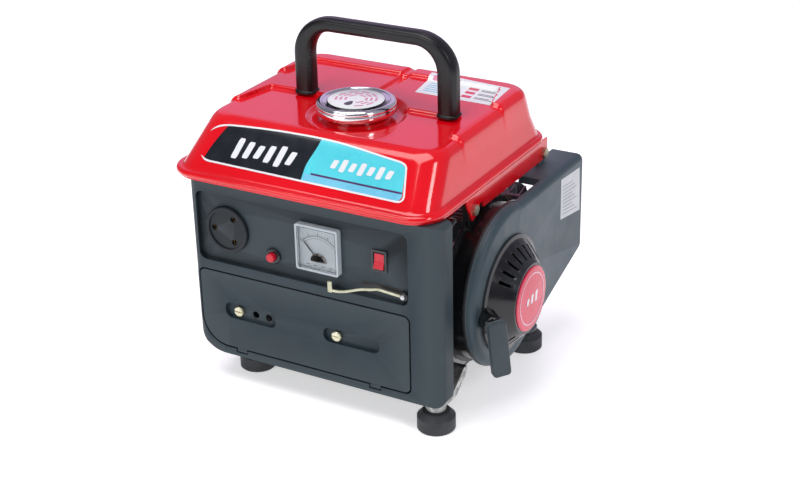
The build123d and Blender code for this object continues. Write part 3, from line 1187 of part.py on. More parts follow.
# High tension lead from the ignition coil to the plug cap.
LEAD_R = 3.2
coil_end = math.radians(COIL_ANGLE)
coil_mid = FAN_R + 8
coil_end_y = CRANK_Y + coil_mid * math.sin(coil_end) + 11 * math.cos(coil_end)
coil_end_z = CRANK_Z + coil_mid * math.cos(coil_end) - 11 * math.sin(coil_end)
boot_at = plug_seat + 32
boot_y = CRANK_Y + boot_at * math.cos(tilt)
boot_z = CRANK_Z + boot_at * math.sin(tilt)
lead_x = coil_x0 + 6
lead_dir = (0, math.cos(coil_end), -math.sin(coil_end))
lead_line = Spline(
    (lead_x, coil_end_y, coil_end_z),
    (lead_x, coil_end_y + 30, coil_end_z - 6),
    (lead_x - 12, boot_y - 6, boot_z + 4),
    (ENGINE_X + 11.2, boot_y, boot_z),
    tangents=(lead_dir, (-1, 0, 0)),
)
lead_start = Plane(origin=(lead_x, coil_end_y, coil_end_z), z_dir=lead_dir)
save("plug_lead", sweep(lead_start * Circle(LEAD_R), path=lead_line))
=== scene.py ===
"""Looks of the portable generator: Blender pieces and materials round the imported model."""
import json
import math

import bpy
import numpy as np
from mathutils import Matrix, Vector
from mathutils.bvhtree import BVHTree


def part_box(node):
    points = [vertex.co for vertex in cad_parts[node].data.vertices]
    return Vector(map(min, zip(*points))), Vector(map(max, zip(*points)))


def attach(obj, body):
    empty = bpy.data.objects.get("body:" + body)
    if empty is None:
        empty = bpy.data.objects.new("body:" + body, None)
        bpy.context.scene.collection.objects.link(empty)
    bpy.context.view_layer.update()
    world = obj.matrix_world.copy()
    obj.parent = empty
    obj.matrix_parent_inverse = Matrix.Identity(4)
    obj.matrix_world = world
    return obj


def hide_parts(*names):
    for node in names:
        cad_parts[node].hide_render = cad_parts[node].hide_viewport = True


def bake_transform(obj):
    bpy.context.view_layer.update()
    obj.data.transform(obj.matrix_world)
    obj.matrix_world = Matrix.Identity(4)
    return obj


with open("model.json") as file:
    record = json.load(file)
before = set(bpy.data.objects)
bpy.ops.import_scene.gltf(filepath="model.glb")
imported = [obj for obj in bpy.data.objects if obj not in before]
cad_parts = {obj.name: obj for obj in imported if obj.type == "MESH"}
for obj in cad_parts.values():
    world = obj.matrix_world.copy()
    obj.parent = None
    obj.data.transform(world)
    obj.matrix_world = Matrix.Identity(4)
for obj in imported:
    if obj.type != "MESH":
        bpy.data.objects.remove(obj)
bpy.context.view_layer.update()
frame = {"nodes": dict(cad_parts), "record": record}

MM = 0.001
nodes = frame["nodes"]


def span(node, axis):
    """Lowest and highest coordinate of a CAD node along an axis, in millimetres."""
    low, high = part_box(node)
    return low[axis] / MM, high[axis] / MM


# ---------------------------------------------------------------- materials
class Finish:
    """One node material, built up from a few patterns."""

    def __init__(self, name):
        self.mat = bpy.data.materials.new(name)
        self.mat.use_nodes = True
        self.tree = self.mat.node_tree
        self.shader = self.tree.nodes["Principled BSDF"]
        self.coord = self.add("ShaderNodeTexCoord").outputs["Object"]
        self.normal = None

    def add(self, kind, **settings):
        node = self.tree.nodes.new(kind)
        for key, value in settings.items():
            setattr(node, key, value)
        return node

    def put(self, socket, value):
        if isinstance(value, bpy.types.NodeSocket):
            self.tree.links.new(value, socket)
        elif isinstance(value, tuple) and len(value) == 3 and socket.type == "RGBA":
            socket.default_value = (*value, 1.0)
        else:
            socket.default_value = value

    def set(self, **values):
        for key, value in values.items():
            self.put(self.shader.inputs[key.replace("_", " ")], value)

    def noise(self, scale, detail=4.0, rough=0.55, stretch=None):
        tex = self.add("ShaderNodeTexNoise")
        self.put(tex.inputs["Scale"], scale)
        self.put(tex.inputs["Detail"], detail)
        self.put(tex.inputs["Roughness"], rough)
        self.put(tex.inputs["Vector"], self.stretched(stretch))
        return tex.outputs["Fac"]

    def stretched(self, stretch):
        if not stretch:
            return self.coord
        mapping = self.add("ShaderNodeMapping")
        self.put(mapping.inputs["Scale"], stretch)
        self.put(mapping.inputs["Vector"], self.coord)
        return mapping.outputs["Vector"]

    def cells(self, scale, output="Distance", stretch=None):
        tex = self.add("ShaderNodeTexVoronoi")
        self.put(tex.inputs["Scale"], scale)
        self.put(tex.inputs["Vector"], self.stretched(stretch))
        return tex.outputs[output]

    def wave(self, scale, axis="X", distortion=0.0):
        tex = self.add("ShaderNodeTexWave", bands_direction=axis)
        self.put(tex.inputs["Scale"], scale)
        self.put(tex.inputs["Distortion"], distortion)
        self.put(tex.inputs["Vector"], self.coord)
        return tex.outputs["Fac"]

    def ramp(self, fac, *stops):
        node = self.add("ShaderNodeValToRGB")
        line = node.color_ramp
        while len(line.elements) < len(stops):
            line.elements.new(0.5)
        for element, (at, color) in zip(line.elements, stops):
            element.position = at
            element.color = (*color, 1.0)
        self.put(node.inputs["Fac"], fac)
        return node.outputs["Color"]

    def map(self, fac, low, high, from_low=0.3, from_high=0.7):
        node = self.add("ShaderNodeMapRange")
        self.put(node.inputs["From Min"], from_low)
        self.put(node.inputs["From Max"], from_high)
        self.put(node.inputs["To Min"], low)
        self.put(node.inputs["To Max"], high)
        self.put(node.inputs["Value"], fac)
        return node.outputs["Result"]

    def mix(self, fac, a, b):
        node = self.add("ShaderNodeMix", data_type="RGBA")
        self.put(node.inputs["Factor"], fac)
        self.put([s for s in node.inputs if s.name == "A" and s.type == "RGBA"][0], a)
        self.put([s for s in node.inputs if s.name == "B" and s.type == "RGBA"][0], b)
        return [s for s in node.outputs if s.type == "RGBA"][0]

    def inside(self, low, high, soft_mm=0.4):
        """Mask that is 1 inside a box given in millimetres."""
        parts = self.add("ShaderNodeSeparateXYZ")
        self.put(parts.inputs["Vector"], self.coord)
        mask = None
        for axis in range(3):
            for edge, side in ((low[axis], 1), (high[axis], -1)):
                if edge is None:
                    continue
                near, far = (edge - side * soft_mm) * MM, (edge + side * soft_mm) * MM
                step = self.map(parts.outputs[axis], 0.0, 1.0, near, far)
                if mask is None:
                    mask = step
                    continue
                both = self.add("ShaderNodeMath", operation="MULTIPLY")
                self.put(both.inputs[0], mask)
                self.put(both.inputs[1], step)
                mask = both.outputs[0]
        return mask

    def edge_highlight(self, color, edge_color, low=0.53, high=0.60):
        """Painted highlight: a lighter second colour on sharp outward corners, where edges catch the light."""
        point = self.add("ShaderNodeNewGeometry").outputs["Pointiness"]
        glint = self.map(point, 0.0, 1.0, low, high)
        return self.mix(glint, color, edge_color)

    def soft_edges(self, radius_mm):
        """Corners that catch the light as if slightly rounded."""
        node = self.add("ShaderNodeBevel", samples=4)
        self.put(node.inputs["Radius"], radius_mm * MM)
        self.normal = node.outputs["Normal"]
        self.put(self.shader.inputs["Normal"], self.normal)

    def bump(self, height, strength, depth_mm):
        node = self.add("ShaderNodeBump")
        self.put(node.inputs["Strength"], strength)
        self.put(node.inputs["Distance"], depth_mm * MM)
        self.put(node.inputs["Height"], height)
        if self.normal is not None:
            self.put(node.inputs["Normal"], self.normal)
        self.normal = node.outputs["Normal"]
        self.put(self.shader.inputs["Normal"], self.normal)


def red_enamel():
    """Deep gloss red over pressed steel: orange peel, faint dust and slow colour drift."""
    f = Finish("red_enamel")
    drift = f.noise(9.0, 3.0)
    f.set(
        Base_Color=f.ramp(drift, (0.3, (0.68, 0.001, 0.006)), (0.7, (0.80, 0.002, 0.010))),
        Roughness=f.map(f.noise(30.0, 5.0), 0.10, 0.22),
        Specular_IOR_Level=0.35,
        Coat_Weight=0.6,
        Coat_Roughness=0.05,
    )
    f.bump(f.noise(520.0, 2.0), 0.05, 0.06)
    return f.mat


def plastic(name, dark, light, rough, grain_mm, grain, specular=0.5, edge=None, bevel_mm=0.5, shade=None):
    """Moulded plastic or textured paint with fine grain, painted highlights on sharp corners and, where a box is given,
    painted shade inside it.
    """
    f = Finish(name)
    f.soft_edges(bevel_mm)
    color = f.ramp(f.noise(14.0, 6.0, 0.6), (0.3, dark), (0.72, light))
    # Painted shade: inside the given box the colour goes to the darker tone, standing in for shade in a recess.
    if shade:
        low, high, tone = shade
        color = f.mix(f.inside(low, high), color, tone)
    # Painted highlight: sharp corners take the lighter edge colour.
    if edge:
        color = f.edge_highlight(color, edge)
    f.set(
        Base_Color=color,
        Roughness=f.map(f.noise(45.0, 5.0), rough - 0.06, rough + 0.07),
        Specular_IOR_Level=specular,
    )
    f.bump(f.noise(1.0 / (grain_mm * MM), 3.0, 0.6), grain, 0.12)
    return f.mat


def metal(name, dark, light, rough, scale=60.0, stretch=None, grain=0.08, specks=None, bevel_mm=0.4):
    """Bare or plated metal with blotches, fine scratches and duller patches."""
    f = Finish(name)
    f.soft_edges(bevel_mm)
    blotch = f.noise(scale, 6.0, 0.62, stretch)
    color = f.ramp(blotch, (0.3, dark), (0.7, light))
    if specks:
        color = f.mix(f.map(f.noise(420.0, 3.0), 0.0, 0.55, 0.56, 0.72), color, specks)
    f.set(
        Base_Color=color,
        Metallic=0.9,
        Roughness=f.map(f.noise(160.0, 5.0, 0.6, stretch), rough - 0.08, rough + 0.12),
    )
    f.bump(f.noise(900.0, 3.0, 0.6, stretch), grain, 0.1)
    return f.mat


def galvanised():
    """Hot-dip zinc with its crystal spangle."""
    f = Finish("galvanised_steel")
    f.soft_edges(0.5)
    spangle = f.cells(190.0, "Color")
    grey = f.ramp(spangle, (0.2, (0.30, 0.31, 0.30)), (0.8, (0.62, 0.63, 0.60)))
    stain = f.map(f.noise(70.0, 6.0), 0.0, 0.5, 0.52, 0.75)
    f.set(
        Base_Color=f.mix(stain, grey, (0.20, 0.21, 0.20)),
        Metallic=0.75,
        Roughness=f.map(f.noise(240.0), 0.32, 0.58),
    )
    f.bump(f.noise(700.0, 4.0), 0.15, 0.15)
    return f.mat


def cast_alloy():
    """Sand-cast aluminium: pebbled skin, darker in its hollows."""
    f = Finish("cast_alloy")
    f.soft_edges(0.8)
    pebble = f.noise(520.0, 5.0, 0.65)
    f.set(
        Base_Color=f.ramp(pebble, (0.32, (0.22, 0.225, 0.23)), (0.66, (0.52, 0.53, 0.53))),
        Metallic=0.65,
        Roughness=f.map(f.noise(90.0), 0.42, 0.62),
    )
    f.bump(pebble, 0.45, 0.35)
    return f.mat


def chrome():
    """Bright plate with faint smears."""
    f = Finish("chrome_plate")
    f.set(
        Base_Color=f.ramp(f.noise(20.0), (0.3, (0.74, 0.75, 0.77)), (0.7, (0.86, 0.87, 0.88))),
        Metallic=1.0,
        Roughness=f.map(f.noise(90.0, 5.0), 0.06, 0.2),
    )
    f.bump(f.noise(300.0), 0.02, 0.05)
    return f.mat


def rubber():
    """Moulded rubber with bloom and a fine pitted skin."""
    f = Finish("foot_rubber")
    f.soft_edges(0.8)
    bloom = f.noise(28.0, 6.0, 0.65)
    f.set(
        Base_Color=f.ramp(bloom, (0.3, (0.018, 0.020, 0.022)), (0.72, (0.050, 0.055, 0.060))),
        Roughness=f.map(f.noise(60.0), 0.46, 0.7),
        Specular_IOR_Level=0.4,
    )
    f.bump(f.noise(650.0, 4.0, 0.65), 0.25, 0.2)
    return f.mat


def clear_cover():
    """Clear acrylic with hairline scratches."""
    f = Finish("clear_acrylic")
    f.set(
        Base_Color=f.ramp(f.noise(40.0), (0.3, (0.93, 0.95, 0.95)), (0.7, (0.97, 0.98, 0.98))),
        Roughness=f.map(f.noise(1200.0, 5.0, 0.7, (1.0, 1.0, 0.1)), 0.02, 0.10),
        Transmission_Weight=1.0,
        IOR=1.2,
        Specular_IOR_Level=0.35,
    )
    return f.mat


def rope():
    """Braided cord: crossing strands."""
    f = Finish("braided_rope")
    braid = f.cells(900.0, "Distance", (1.0, 1.0, 0.6))
    f.set(
        Base_Color=f.ramp(braid, (0.1, (0.055, 0.055, 0.055)), (0.6, (0.012, 0.012, 0.012))),
        Roughness=f.map(f.noise(300.0), 0.7, 0.9),
        Sheen_Weight=0.2,
    )
    f.bump(braid, 0.7, 0.3)
    return f.mat


def foam():
    """Open-cell filter foam."""
    f = Finish("filter_foam")
    pores = f.cells(650.0)
    f.set(
        Base_Color=f.ramp(pores, (0.1, (0.03, 0.03, 0.035)), (0.5, (0.16, 0.15, 0.14))),
        Roughness=f.map(f.noise(200.0), 0.85, 1.0),
    )
    f.bump(pores, 0.8, 0.6)
    return f.mat


def windings():
    """Lacquered copper wire over stacked iron."""
    f = Finish("copper_windings")
    turns = f.wave(420.0, "X", 1.5)
    copper = f.ramp(turns, (0.1, (0.10, 0.03, 0.012)), (0.8, (0.50, 0.20, 0.08)))
    f.set(Base_Color=copper, Metallic=0.6, Roughness=f.map(f.noise(200.0), 0.3, 0.5))
    f.bump(turns, 0.6, 0.4)
    return f.mat


def exhaust():
    """Pressed muffler steel with heat tint and rust bloom."""
    f = Finish("exhaust_steel")
    f.soft_edges(0.5)
    heat = f.noise(16.0, 5.0, 0.6)
    tint = f.ramp(
        heat,
        (0.25, (0.17, 0.16, 0.15)),
        (0.5, (0.30, 0.26, 0.21)),
        (0.62, (0.22, 0.17, 0.20)),
        (0.8, (0.16, 0.18, 0.22)),
    )
    rust = f.map(f.noise(120.0, 6.0, 0.7), 0.0, 0.7, 0.58, 0.72)
    f.set(
        Base_Color=f.mix(rust, tint, (0.20, 0.075, 0.03)),
        Metallic=f.map(f.noise(120.0, 6.0, 0.7), 0.85, 0.2, 0.55, 0.72),
        Roughness=f.map(f.noise(80.0), 0.35, 0.6),
    )
    f.bump(f.noise(400.0, 5.0), 0.2, 0.2)
    return f.mat


def print_ink(name, dark, light, rough=0.35):
    """Printed vinyl: even ink with a faint screen dot and tiny bubbles."""
    f = Finish(name)
    dots = f.cells(1400.0)
    ink = f.ramp(f.noise(18.0, 3.0), (0.3, dark), (0.7, light))
    f.set(
        Base_Color=f.mix(f.map(dots, 0.06, 0.0, 0.1, 0.5), ink, dark),
        Roughness=f.map(f.noise(50.0), rough - 0.08, rough + 0.08),
        Coat_Weight=0.3,
        Coat_Roughness=0.12,
    )
    f.bump(f.noise(260.0, 2.0), 0.05, 0.05)
    return f.mat


# Box of the control recess on the panel front, where the panel colour is painted darker as shade.
SHADED_RECESS_LOW = (-151.0, -147.4, 137.0)
SHADED_RECESS_HIGH = (97.0, -142.0, 215.0)
# The edge colours below are painted highlights on sharp corners.
finishes = {
    "red_paint": red_enamel(),
    "black_paint": plastic("black_enamel", (0.005, 0.0055, 0.006), (0.010, 0.011, 0.012), 0.22, 0.6, 0.10,
                           edge=(0.03, 0.033, 0.035)),
    # Panel: painted shade inside its control recess box.
    "panel_plastic": plastic("panel_abs", (0.017, 0.030, 0.039), (0.024, 0.041, 0.051), 0.46, 0.45, 0.20,
                             specular=0.22, edge=(0.042, 0.060, 0.068), bevel_mm=0.8,
                             shade=(SHADED_RECESS_LOW, SHADED_RECESS_HIGH, (0.006, 0.010, 0.013))),
    "shroud_paint": plastic("shroud_abs", (0.040, 0.062, 0.076), (0.054, 0.080, 0.094), 0.42, 0.5, 0.16,
                            specular=0.25, edge=(0.10, 0.13, 0.145), bevel_mm=0.8),
    "gloss_black": plastic("gloss_black_abs", (0.004, 0.0045, 0.005), (0.008, 0.009, 0.010), 0.14, 0.9, 0.06,
                           edge=(0.03, 0.035, 0.038), bevel_mm=0.6),
    "handle_black": plastic("handle_pvc", (0.003, 0.0035, 0.004), (0.007, 0.008, 0.009), 0.30, 0.7, 0.12,
                            specular=0.4),
    "black_rubber": rubber(),
    "zinc_steel": metal("bright_zinc", (0.42, 0.44, 0.45), (0.70, 0.72, 0.72), 0.30),
    "yellow_zinc": metal("yellow_passivated_zinc", (0.44, 0.42, 0.26), (0.74, 0.73, 0.56), 0.30, 110.0,
                         specks=(0.62, 0.48, 0.42)),
    "galvanised": galvanised(),
    "cast_alloy": cast_alloy(),
    "machined_steel": metal("machined_steel", (0.38, 0.38, 0.38), (0.60, 0.60, 0.59), 0.25, 80.0,
                            (1.0, 9.0, 9.0)),
    "chrome_cap": chrome(),
    "meter_black": plastic("meter_housing", (0.40, 0.46, 0.49), (0.52, 0.58, 0.61), 0.25, 0.6, 0.06),
    "dial_white": print_ink("dial_card", (0.48, 0.53, 0.56), (0.58, 0.64, 0.67), 0.45),
    "clear_front": clear_cover(),
    "needle_black": plastic("needle_lacquer", (0.006, 0.006, 0.006), (0.014, 0.014, 0.014), 0.35, 0.6, 0.05,
                            bevel_mm=0.1),
    "switch_red": plastic("red_switch_plastic", (0.50, 0.004, 0.016), (0.70, 0.010, 0.034), 0.22, 0.8, 0.05),
    "brass_part": metal("brass", (0.30, 0.20, 0.07), (0.50, 0.36, 0.15), 0.28),
    "label_red": print_ink("label_red_ink", (0.62, 0.010, 0.050), (0.74, 0.022, 0.085), 0.28),
    "rope_black": rope(),
    "foam": foam(),
    "wound_core": windings(),
    "exhaust_steel": exhaust(),
    "spring_steel": metal("blued_spring_steel", (0.10, 0.12, 0.17), (0.28, 0.30, 0.34), 0.3),
    "socket_black": plastic("socket_thermoset", (0.007, 0.011, 0.014), (0.010, 0.015, 0.019), 0.42, 0.6, 0.12,
                            specular=0.3, edge=(0.035, 0.045, 0.05), bevel_mm=0.5),
    "grip_grey": plastic("grip_plastic", (0.030, 0.044, 0.052), (0.050, 0.068, 0.078), 0.44, 0.5, 0.30,
                         specular=0.3, edge=(0.11, 0.14, 0.15), bevel_mm=0.8),
}
FINISH_FOR = {"ac_socket": "socket_black", "pull_grip": "grip_grey"}
node_slots = {part["node"]: part["material_slot"] for part in frame["record"]["subparts"]}
for name, obj in nodes.items():
    obj.data.materials.clear()
    obj.data.materials.append(finishes[FINISH_FOR.get(name, node_slots[name])])


# ---------------------------------------------------------------- mesh helpers
def add_piece(name, verts, faces, finish, body="chassis", slot=None, sharp=40.0):
    """Mesh in millimetres, smooth except at corners sharper than the given angle."""
    mesh = bpy.data.meshes.new(name)
    mesh.from_pydata([tuple(float(c) * MM for c in v) for v in verts], [], [tuple(f) for f in faces])
    mesh.validate()
    mesh.polygons.foreach_set("use_smooth", [True] * len(mesh.polygons))
    mesh.set_sharp_from_angle(angle=math.radians(sharp))
    mesh.materials.append(finishes[finish])
    obj = bpy.data.objects.new(name, mesh)
    bpy.context.scene.collection.objects.link(obj)
    if body:
        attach(obj, body)
    return obj


def ring_faces(rings, count, closed=True):
    """Quads between consecutive rings of the same number of points."""
    faces = []
    last = count if closed else count - 1
    for a in range(rings - 1):
        for b in range(last):
            c = (b + 1) % count
            faces.append((a * count + b, a * count + c, (a + 1) * count + c, (a + 1) * count + b))
    return faces


def loft(name, rings, finish, body="chassis", cap_start=True, cap_end=True, **more):
    """Skin over closed rings of points, with flat ends."""
    count = len(rings[0])
    verts = [p for ring in rings for p in ring]
    faces = ring_faces(len(rings), count)
    if cap_start:
        faces.append(tuple(reversed(range(count))))
    if cap_end:
        faces.append(tuple(range((len(rings) - 1) * count, len(rings) * count)))
    return add_piece(name, verts, faces, finish, body, **more)


def lathe(name, profile, origin, axis, finish, body="chassis", steps=96, **more):
    """Turned piece: profile points are (radius, height along the axis)."""
    w = Vector(axis).normalized()
    u = w.orthogonal().normalized()
    v = w.cross(u)
    verts = []
    for radius, height in profile:
        for k in range(steps):
            a = 2 * math.pi * k / steps
            verts.append(Vector(origin) + w * height + (u * math.cos(a) + v * math.sin(a)) * radius)
    faces = ring_faces(len(profile), steps)
    faces.append(tuple(reversed(range(steps))))
    faces.append(tuple(range((len(profile) - 1) * steps, len(profile) * steps)))
    return add_piece(name, verts, faces, finish, body, **more)


def superellipse(width, depth, power, count):
    """Rounded section: power 2 is an ellipse, larger is squarer."""
    points = []
    for k in range(count):
        a = 2 * math.pi * k / count
        c, s = math.cos(a), math.sin(a)
        points.append((
            width / 2 * math.copysign(abs(c) ** (2 / power), c),
            depth / 2 * math.copysign(abs(s) ** (2 / power), s),
        ))
    return points


def rounded_box(name, low, high, radius, finish, body="chassis", segments=3, **more):
    """Box between two corners with rounded edges."""
    corners = [(x, y, z) for x in (low[0], high[0]) for y in (low[1], high[1]) for z in (low[2], high[2])]
    faces = [(0, 1, 3, 2), (4, 6, 7, 5), (0, 4, 5, 1), (2, 3, 7, 6), (0, 2, 6, 4), (1, 5, 7, 3)]
    obj = add_piece(name, corners, faces, finish, body, **more)
    bevel = obj.modifiers.new("round", "BEVEL")
    bevel.width = radius * MM
    bevel.segments = segments
    bevel.limit_method = "ANGLE"
    return obj


# ---------------------------------------------------------------- tank shell
TANK_X = span("tank_upper", 0)
TANK_Y = span("tank_upper", 1)
BRIM_LOW = span("tank_upper", 2)[0]
BRIM_TOP = BRIM_LOW + 7.0
DECK_Z = 283.0
LEDGE = 7.5
BRIM_R = 31.0
WALL_R = 27.0
SLOPE = {"front": 40.0, "rear": 20.0, "left": 17.0, "right": 9.0}
SHOULDER = 10.0
COLUMNS = 230
ROWS = 180
CAP_X, CAP_Y = [sum(span("fuel_cap", k)) / 2 for k in (0, 1)]
DISH_R = 49.0
STEP_H = 4.0


def smooth(value):
    value = np.clip(value, 0.0, 1.0)
    return value * value * (3 - 2 * value)


def rim_at(rise, inset=0.0):
    """Outline box of the sloped wall at a fraction of its height."""
    return np.array([
        TANK_X[0] + LEDGE + rise * SLOPE["left"] + inset,
        TANK_X[1] - LEDGE + 2.5 - rise * SLOPE["right"] - inset,
        TANK_Y[0] + LEDGE - 2.5 + rise * SLOPE["front"] + inset,
        TANK_Y[1] - LEDGE + 2.5 - rise * SLOPE["rear"] - inset,
    ])


def brim_at(inset):
    return np.array([TANK_X[0] + inset, TANK_X[1] - inset, TANK_Y[0] + inset, TANK_Y[1] - inset])


def one_side(length, radius, count):
    """Points along a side from corner middle to corner middle: (along, inwards)."""
    arc = radius * math.pi / 4
    straight = length - 2 * radius
    s = np.linspace(0.0, 2 * arc + straight, count + 1)[:-1]
    first = np.clip(math.radians(225) + s / radius, None, math.radians(270))
    last = np.clip(math.radians(270) + (s - arc - straight) / radius, math.radians(270), None)
    along = np.where(s < arc, radius + radius * np.cos(first), radius + s - arc)
    along = np.where(s > arc + straight, length - radius + radius * np.cos(last), along)
    inward = np.where(s < arc, radius + radius * np.sin(first), 0.0)
    inward = np.where(s > arc + straight, radius + radius * np.sin(last), inward)
    return along, inward


def outline(box, radius):
    """Closed outline of a rounded box, with a fixed number of points on each side."""
    x0, x1, y0, y1 = box
    a, i = one_side(x1 - x0, radius, COLUMNS)
    b, j = one_side(y1 - y0, radius, ROWS)
    x = np.concatenate([x0 + a, x1 - j, x1 - a, x0 + j])
    y = np.concatenate([y0 + i, y0 + b, y1 - i, y1 - b])
    return x, y


def step_edge(x, middle_y, edge_y):
    """Where a pressed step crosses the deck: straight, then running forward near both sides."""
    turn = smooth((x - 84.0) / 16.0) + smooth((-138.0 - x) / 12.0)
    return middle_y + (edge_y - middle_y) * turn


def deck_relief(x, y):
    """Pressed steps, the groove behind the cap and the dish round the filler."""
    lift = STEP_H * smooth((y - step_edge(x, -18.0, -64.0)) / 5.0 + 0.5)
    lift += STEP_H * smooth((y - step_edge(x, 68.0, 24.0)) / 5.0 + 0.5)
    groove = smooth((6.5 - np.abs(x + 25.0)) / 4.0) * smooth((y + 10.0) / 6.0) * smooth((96.0 - y) / 10.0)
    lift -= 3.0 * groove
    reach = np.hypot(x - CAP_X, y - CAP_Y)
    flat = smooth((DISH_R + 4.0 - reach) / 8.0)
    return lift * (1 - flat) - 4.0 * flat


def tank_rings():
    """Outlines from under the brim up to the edge of the deck."""
    rings = []
    for inset, z in ((7.0, 0.4), (3.5, 0.0), (1.2, 0.5), (0.2, 2.0), (0.0, 3.6), (0.5, 5.4), (1.8, 6.7), (3.6, 7.0)):
        rings.append((*outline(brim_at(inset), BRIM_R - inset * 0.4), BRIM_LOW + z))
    foot_out = rim_at(0.0, -2.8)
    foot_in = rim_at(0.07)
    corner = rim_at(0.0)
    for t in np.linspace(0.0, 1.0, 6):
        box = (1 - t) ** 2 * foot_out + 2 * t * (1 - t) * corner + t * t * foot_in
        z = BRIM_TOP + 0.07 * (DECK_Z - BRIM_TOP) * t * t
        rings.append((*outline(box, BRIM_R + (WALL_R - BRIM_R) * t), z))
    top_rise = 1 - SHOULDER / (DECK_Z - BRIM_TOP)
    for rise in np.linspace(0.07, top_rise, 14)[1:]:
        rings.append((*outline(rim_at(rise), WALL_R), BRIM_TOP + rise * (DECK_Z - BRIM_TOP)))
    wall, edge, deck = rim_at(top_rise), rim_at(1.0), rim_at(1.0, SHOULDER)
    for t in np.linspace(0.0, 1.0, 13)[1:]:
        box = (1 - t) ** 2 * wall + 2 * t * (1 - t) * edge + t * t * deck
        z = DECK_Z - SHOULDER * (1 - t) ** 2
        rings.append((*outline(box, WALL_R - 6.0 * t), z))
    return rings


def coons(x, y):
    """Grid that fills the deck inside its last outline."""
    corners = (0, COLUMNS, COLUMNS + ROWS, 2 * COLUMNS + ROWS)
    total = 2 * (COLUMNS + ROWS)
    u = np.linspace(0, 1, COLUMNS + 1)[None, :]
    v = np.linspace(0, 1, ROWS + 1)[:, None]
    grids = []
    index = np.zeros((ROWS + 1, COLUMNS + 1), int) - 1
    index[0, :] = np.arange(COLUMNS + 1)
    index[:, -1] = COLUMNS + np.arange(ROWS + 1)
    index[-1, ::-1] = COLUMNS + ROWS + np.arange(COLUMNS + 1)
    index[::-1, 0] = (2 * COLUMNS + ROWS + np.arange(ROWS + 1)) % total
    for c in (x, y):
        front, right = c[index[0, :]][None, :], c[index[:, -1]][:, None]
        rear, left = c[index[-1, :]][None, :], c[index[:, 0]][:, None]
        c00, c10, c11, c01 = (c[k] for k in corners)
        flat = (1 - u) * (1 - v) * c00 + u * (1 - v) * c10 + u * v * c11 + (1 - u) * v * c01
        grids.append((1 - v) * front + v * rear + (1 - u) * left + u * right - flat)
    return index, grids[0], grids[1]


def tank_shell():
    rings = tank_rings()
    count = len(rings[0][0])
    verts = []
    for x, y, z in rings:
        weight = smooth((z - 255.0) / 20.0)
        verts.append(np.column_stack([x, y, z + deck_relief(x, y) * weight]))
    index, gx, gy = coons(rings[-1][0], rings[-1][1])
    base = (len(rings) - 1) * count
    faces = ring_faces(len(rings), count)
    inner = np.zeros(index.shape, int)
    number = len(rings) * count
    extra = []
    for r in range(ROWS + 1):
        for c in range(COLUMNS + 1):
            if index[r, c] >= 0:
                inner[r, c] = base + index[r, c]
            else:
                inner[r, c] = number
                number += 1
                extra.append((gx[r, c], gy[r, c]))
    extra = np.array(extra)
    verts.append(np.column_stack([extra, DECK_Z + deck_relief(extra[:, 0], extra[:, 1])]))
    verts = np.vstack(verts)
    hole = np.hypot(verts[:, 0] - CAP_X, verts[:, 1] - CAP_Y) < 31.5
    for r in range(ROWS):
        for c in range(COLUMNS):
            quad = (inner[r, c], inner[r, c + 1], inner[r + 1, c + 1], inner[r + 1, c])
            if not hole[list(quad)].all():
                faces.append(quad)
    used = sorted({v for f in faces for v in f})
    place = {v: k for k, v in enumerate(used)}
    faces = [tuple(place[v] for v in f) for f in faces]
    return add_piece("tank_shell", verts[used], faces, "red_paint", sharp=60.0)


shell = tank_shell()
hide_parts("tank_upper")
shell_tree = BVHTree.FromObject(shell, bpy.context.evaluated_depsgraph_get())


# ---------------------------------------------------------------- printed sheets
class Drape:
    """Places flat artwork on the tank: the front slope or the deck."""

    def __init__(self, origin, along, up):
        self.origin, self.along, self.up = Vector(origin), Vector(along).normalized(), Vector(up).normalized()
        self.out = self.along.cross(self.up).normalized()

    def place(self, x, s, lift):
        start = (self.origin + self.along * x + self.up * s + self.out * 40) * MM
        hit, normal, _, _ = shell_tree.ray_cast(start, -self.out)
        return (hit + normal * lift * MM) / MM


slope_face = Drape((0, TANK_Y[0] + 5.0, BRIM_TOP), (1, 0, 0), (0, 40.0, DECK_Z - BRIM_TOP))
deck_face = Drape((0, 0, DECK_Z), (1, 0, 0), (0, 1, 0))


def patch(name, face, rows, lift, finish):
    """Sheet through rows of (x, s) points, laid on the tank."""
    count = len(rows[0])
    verts = [face.place(x, s, lift) for row in rows for x, s in row]
    faces = ring_faces(len(rows), count, closed=False)
    return add_piece(name, verts, faces, finish, slot="label_red" if finish == "label_red" else "dial_white")


def between(left, right, low, high, columns, row_count):
    """Rows of points between two side curves, each a function of height fraction."""
    rows = []
    for r in range(row_count + 1):
        v = r / row_count
        row = []
        for c in range(columns + 1):
            u = c / columns
            x = left(v) + (right(v) - left(v)) * u
            row.append((x, low(x) + (high(x) - low(x)) * v))
        rows.append(row)
    return rows


def ribbon(points, width):
    """Two rows either side of a line of points, tapering to its ends."""
    rows = [[], []]
    last = len(points) - 1
    for k, (x, s) in enumerate(points):
        ahead = points[min(k + 1, last)]
        back = points[max(k - 1, 0)]
        dx, ds = ahead[0] - back[0], ahead[1] - back[1]
        norm = math.hypot(dx, ds)
        half = width / 2 * min(1.0, 0.15 + min(k, last - k) / 5.0)
        rows[0].append((x - ds / norm * half, s + dx / norm * half))
        rows[1].append((x + ds / norm * half, s - dx / norm * half))
    return rows


def bezier(*control, steps=12):
    points = []
    for k in range(steps + 1):
        t = k / steps
        level = [Vector(p) for p in control]
        while len(level) > 1:
            level = [a.lerp(b, t) for a, b in zip(level, level[1:])]
        points.append(tuple(level[0]))
    return points


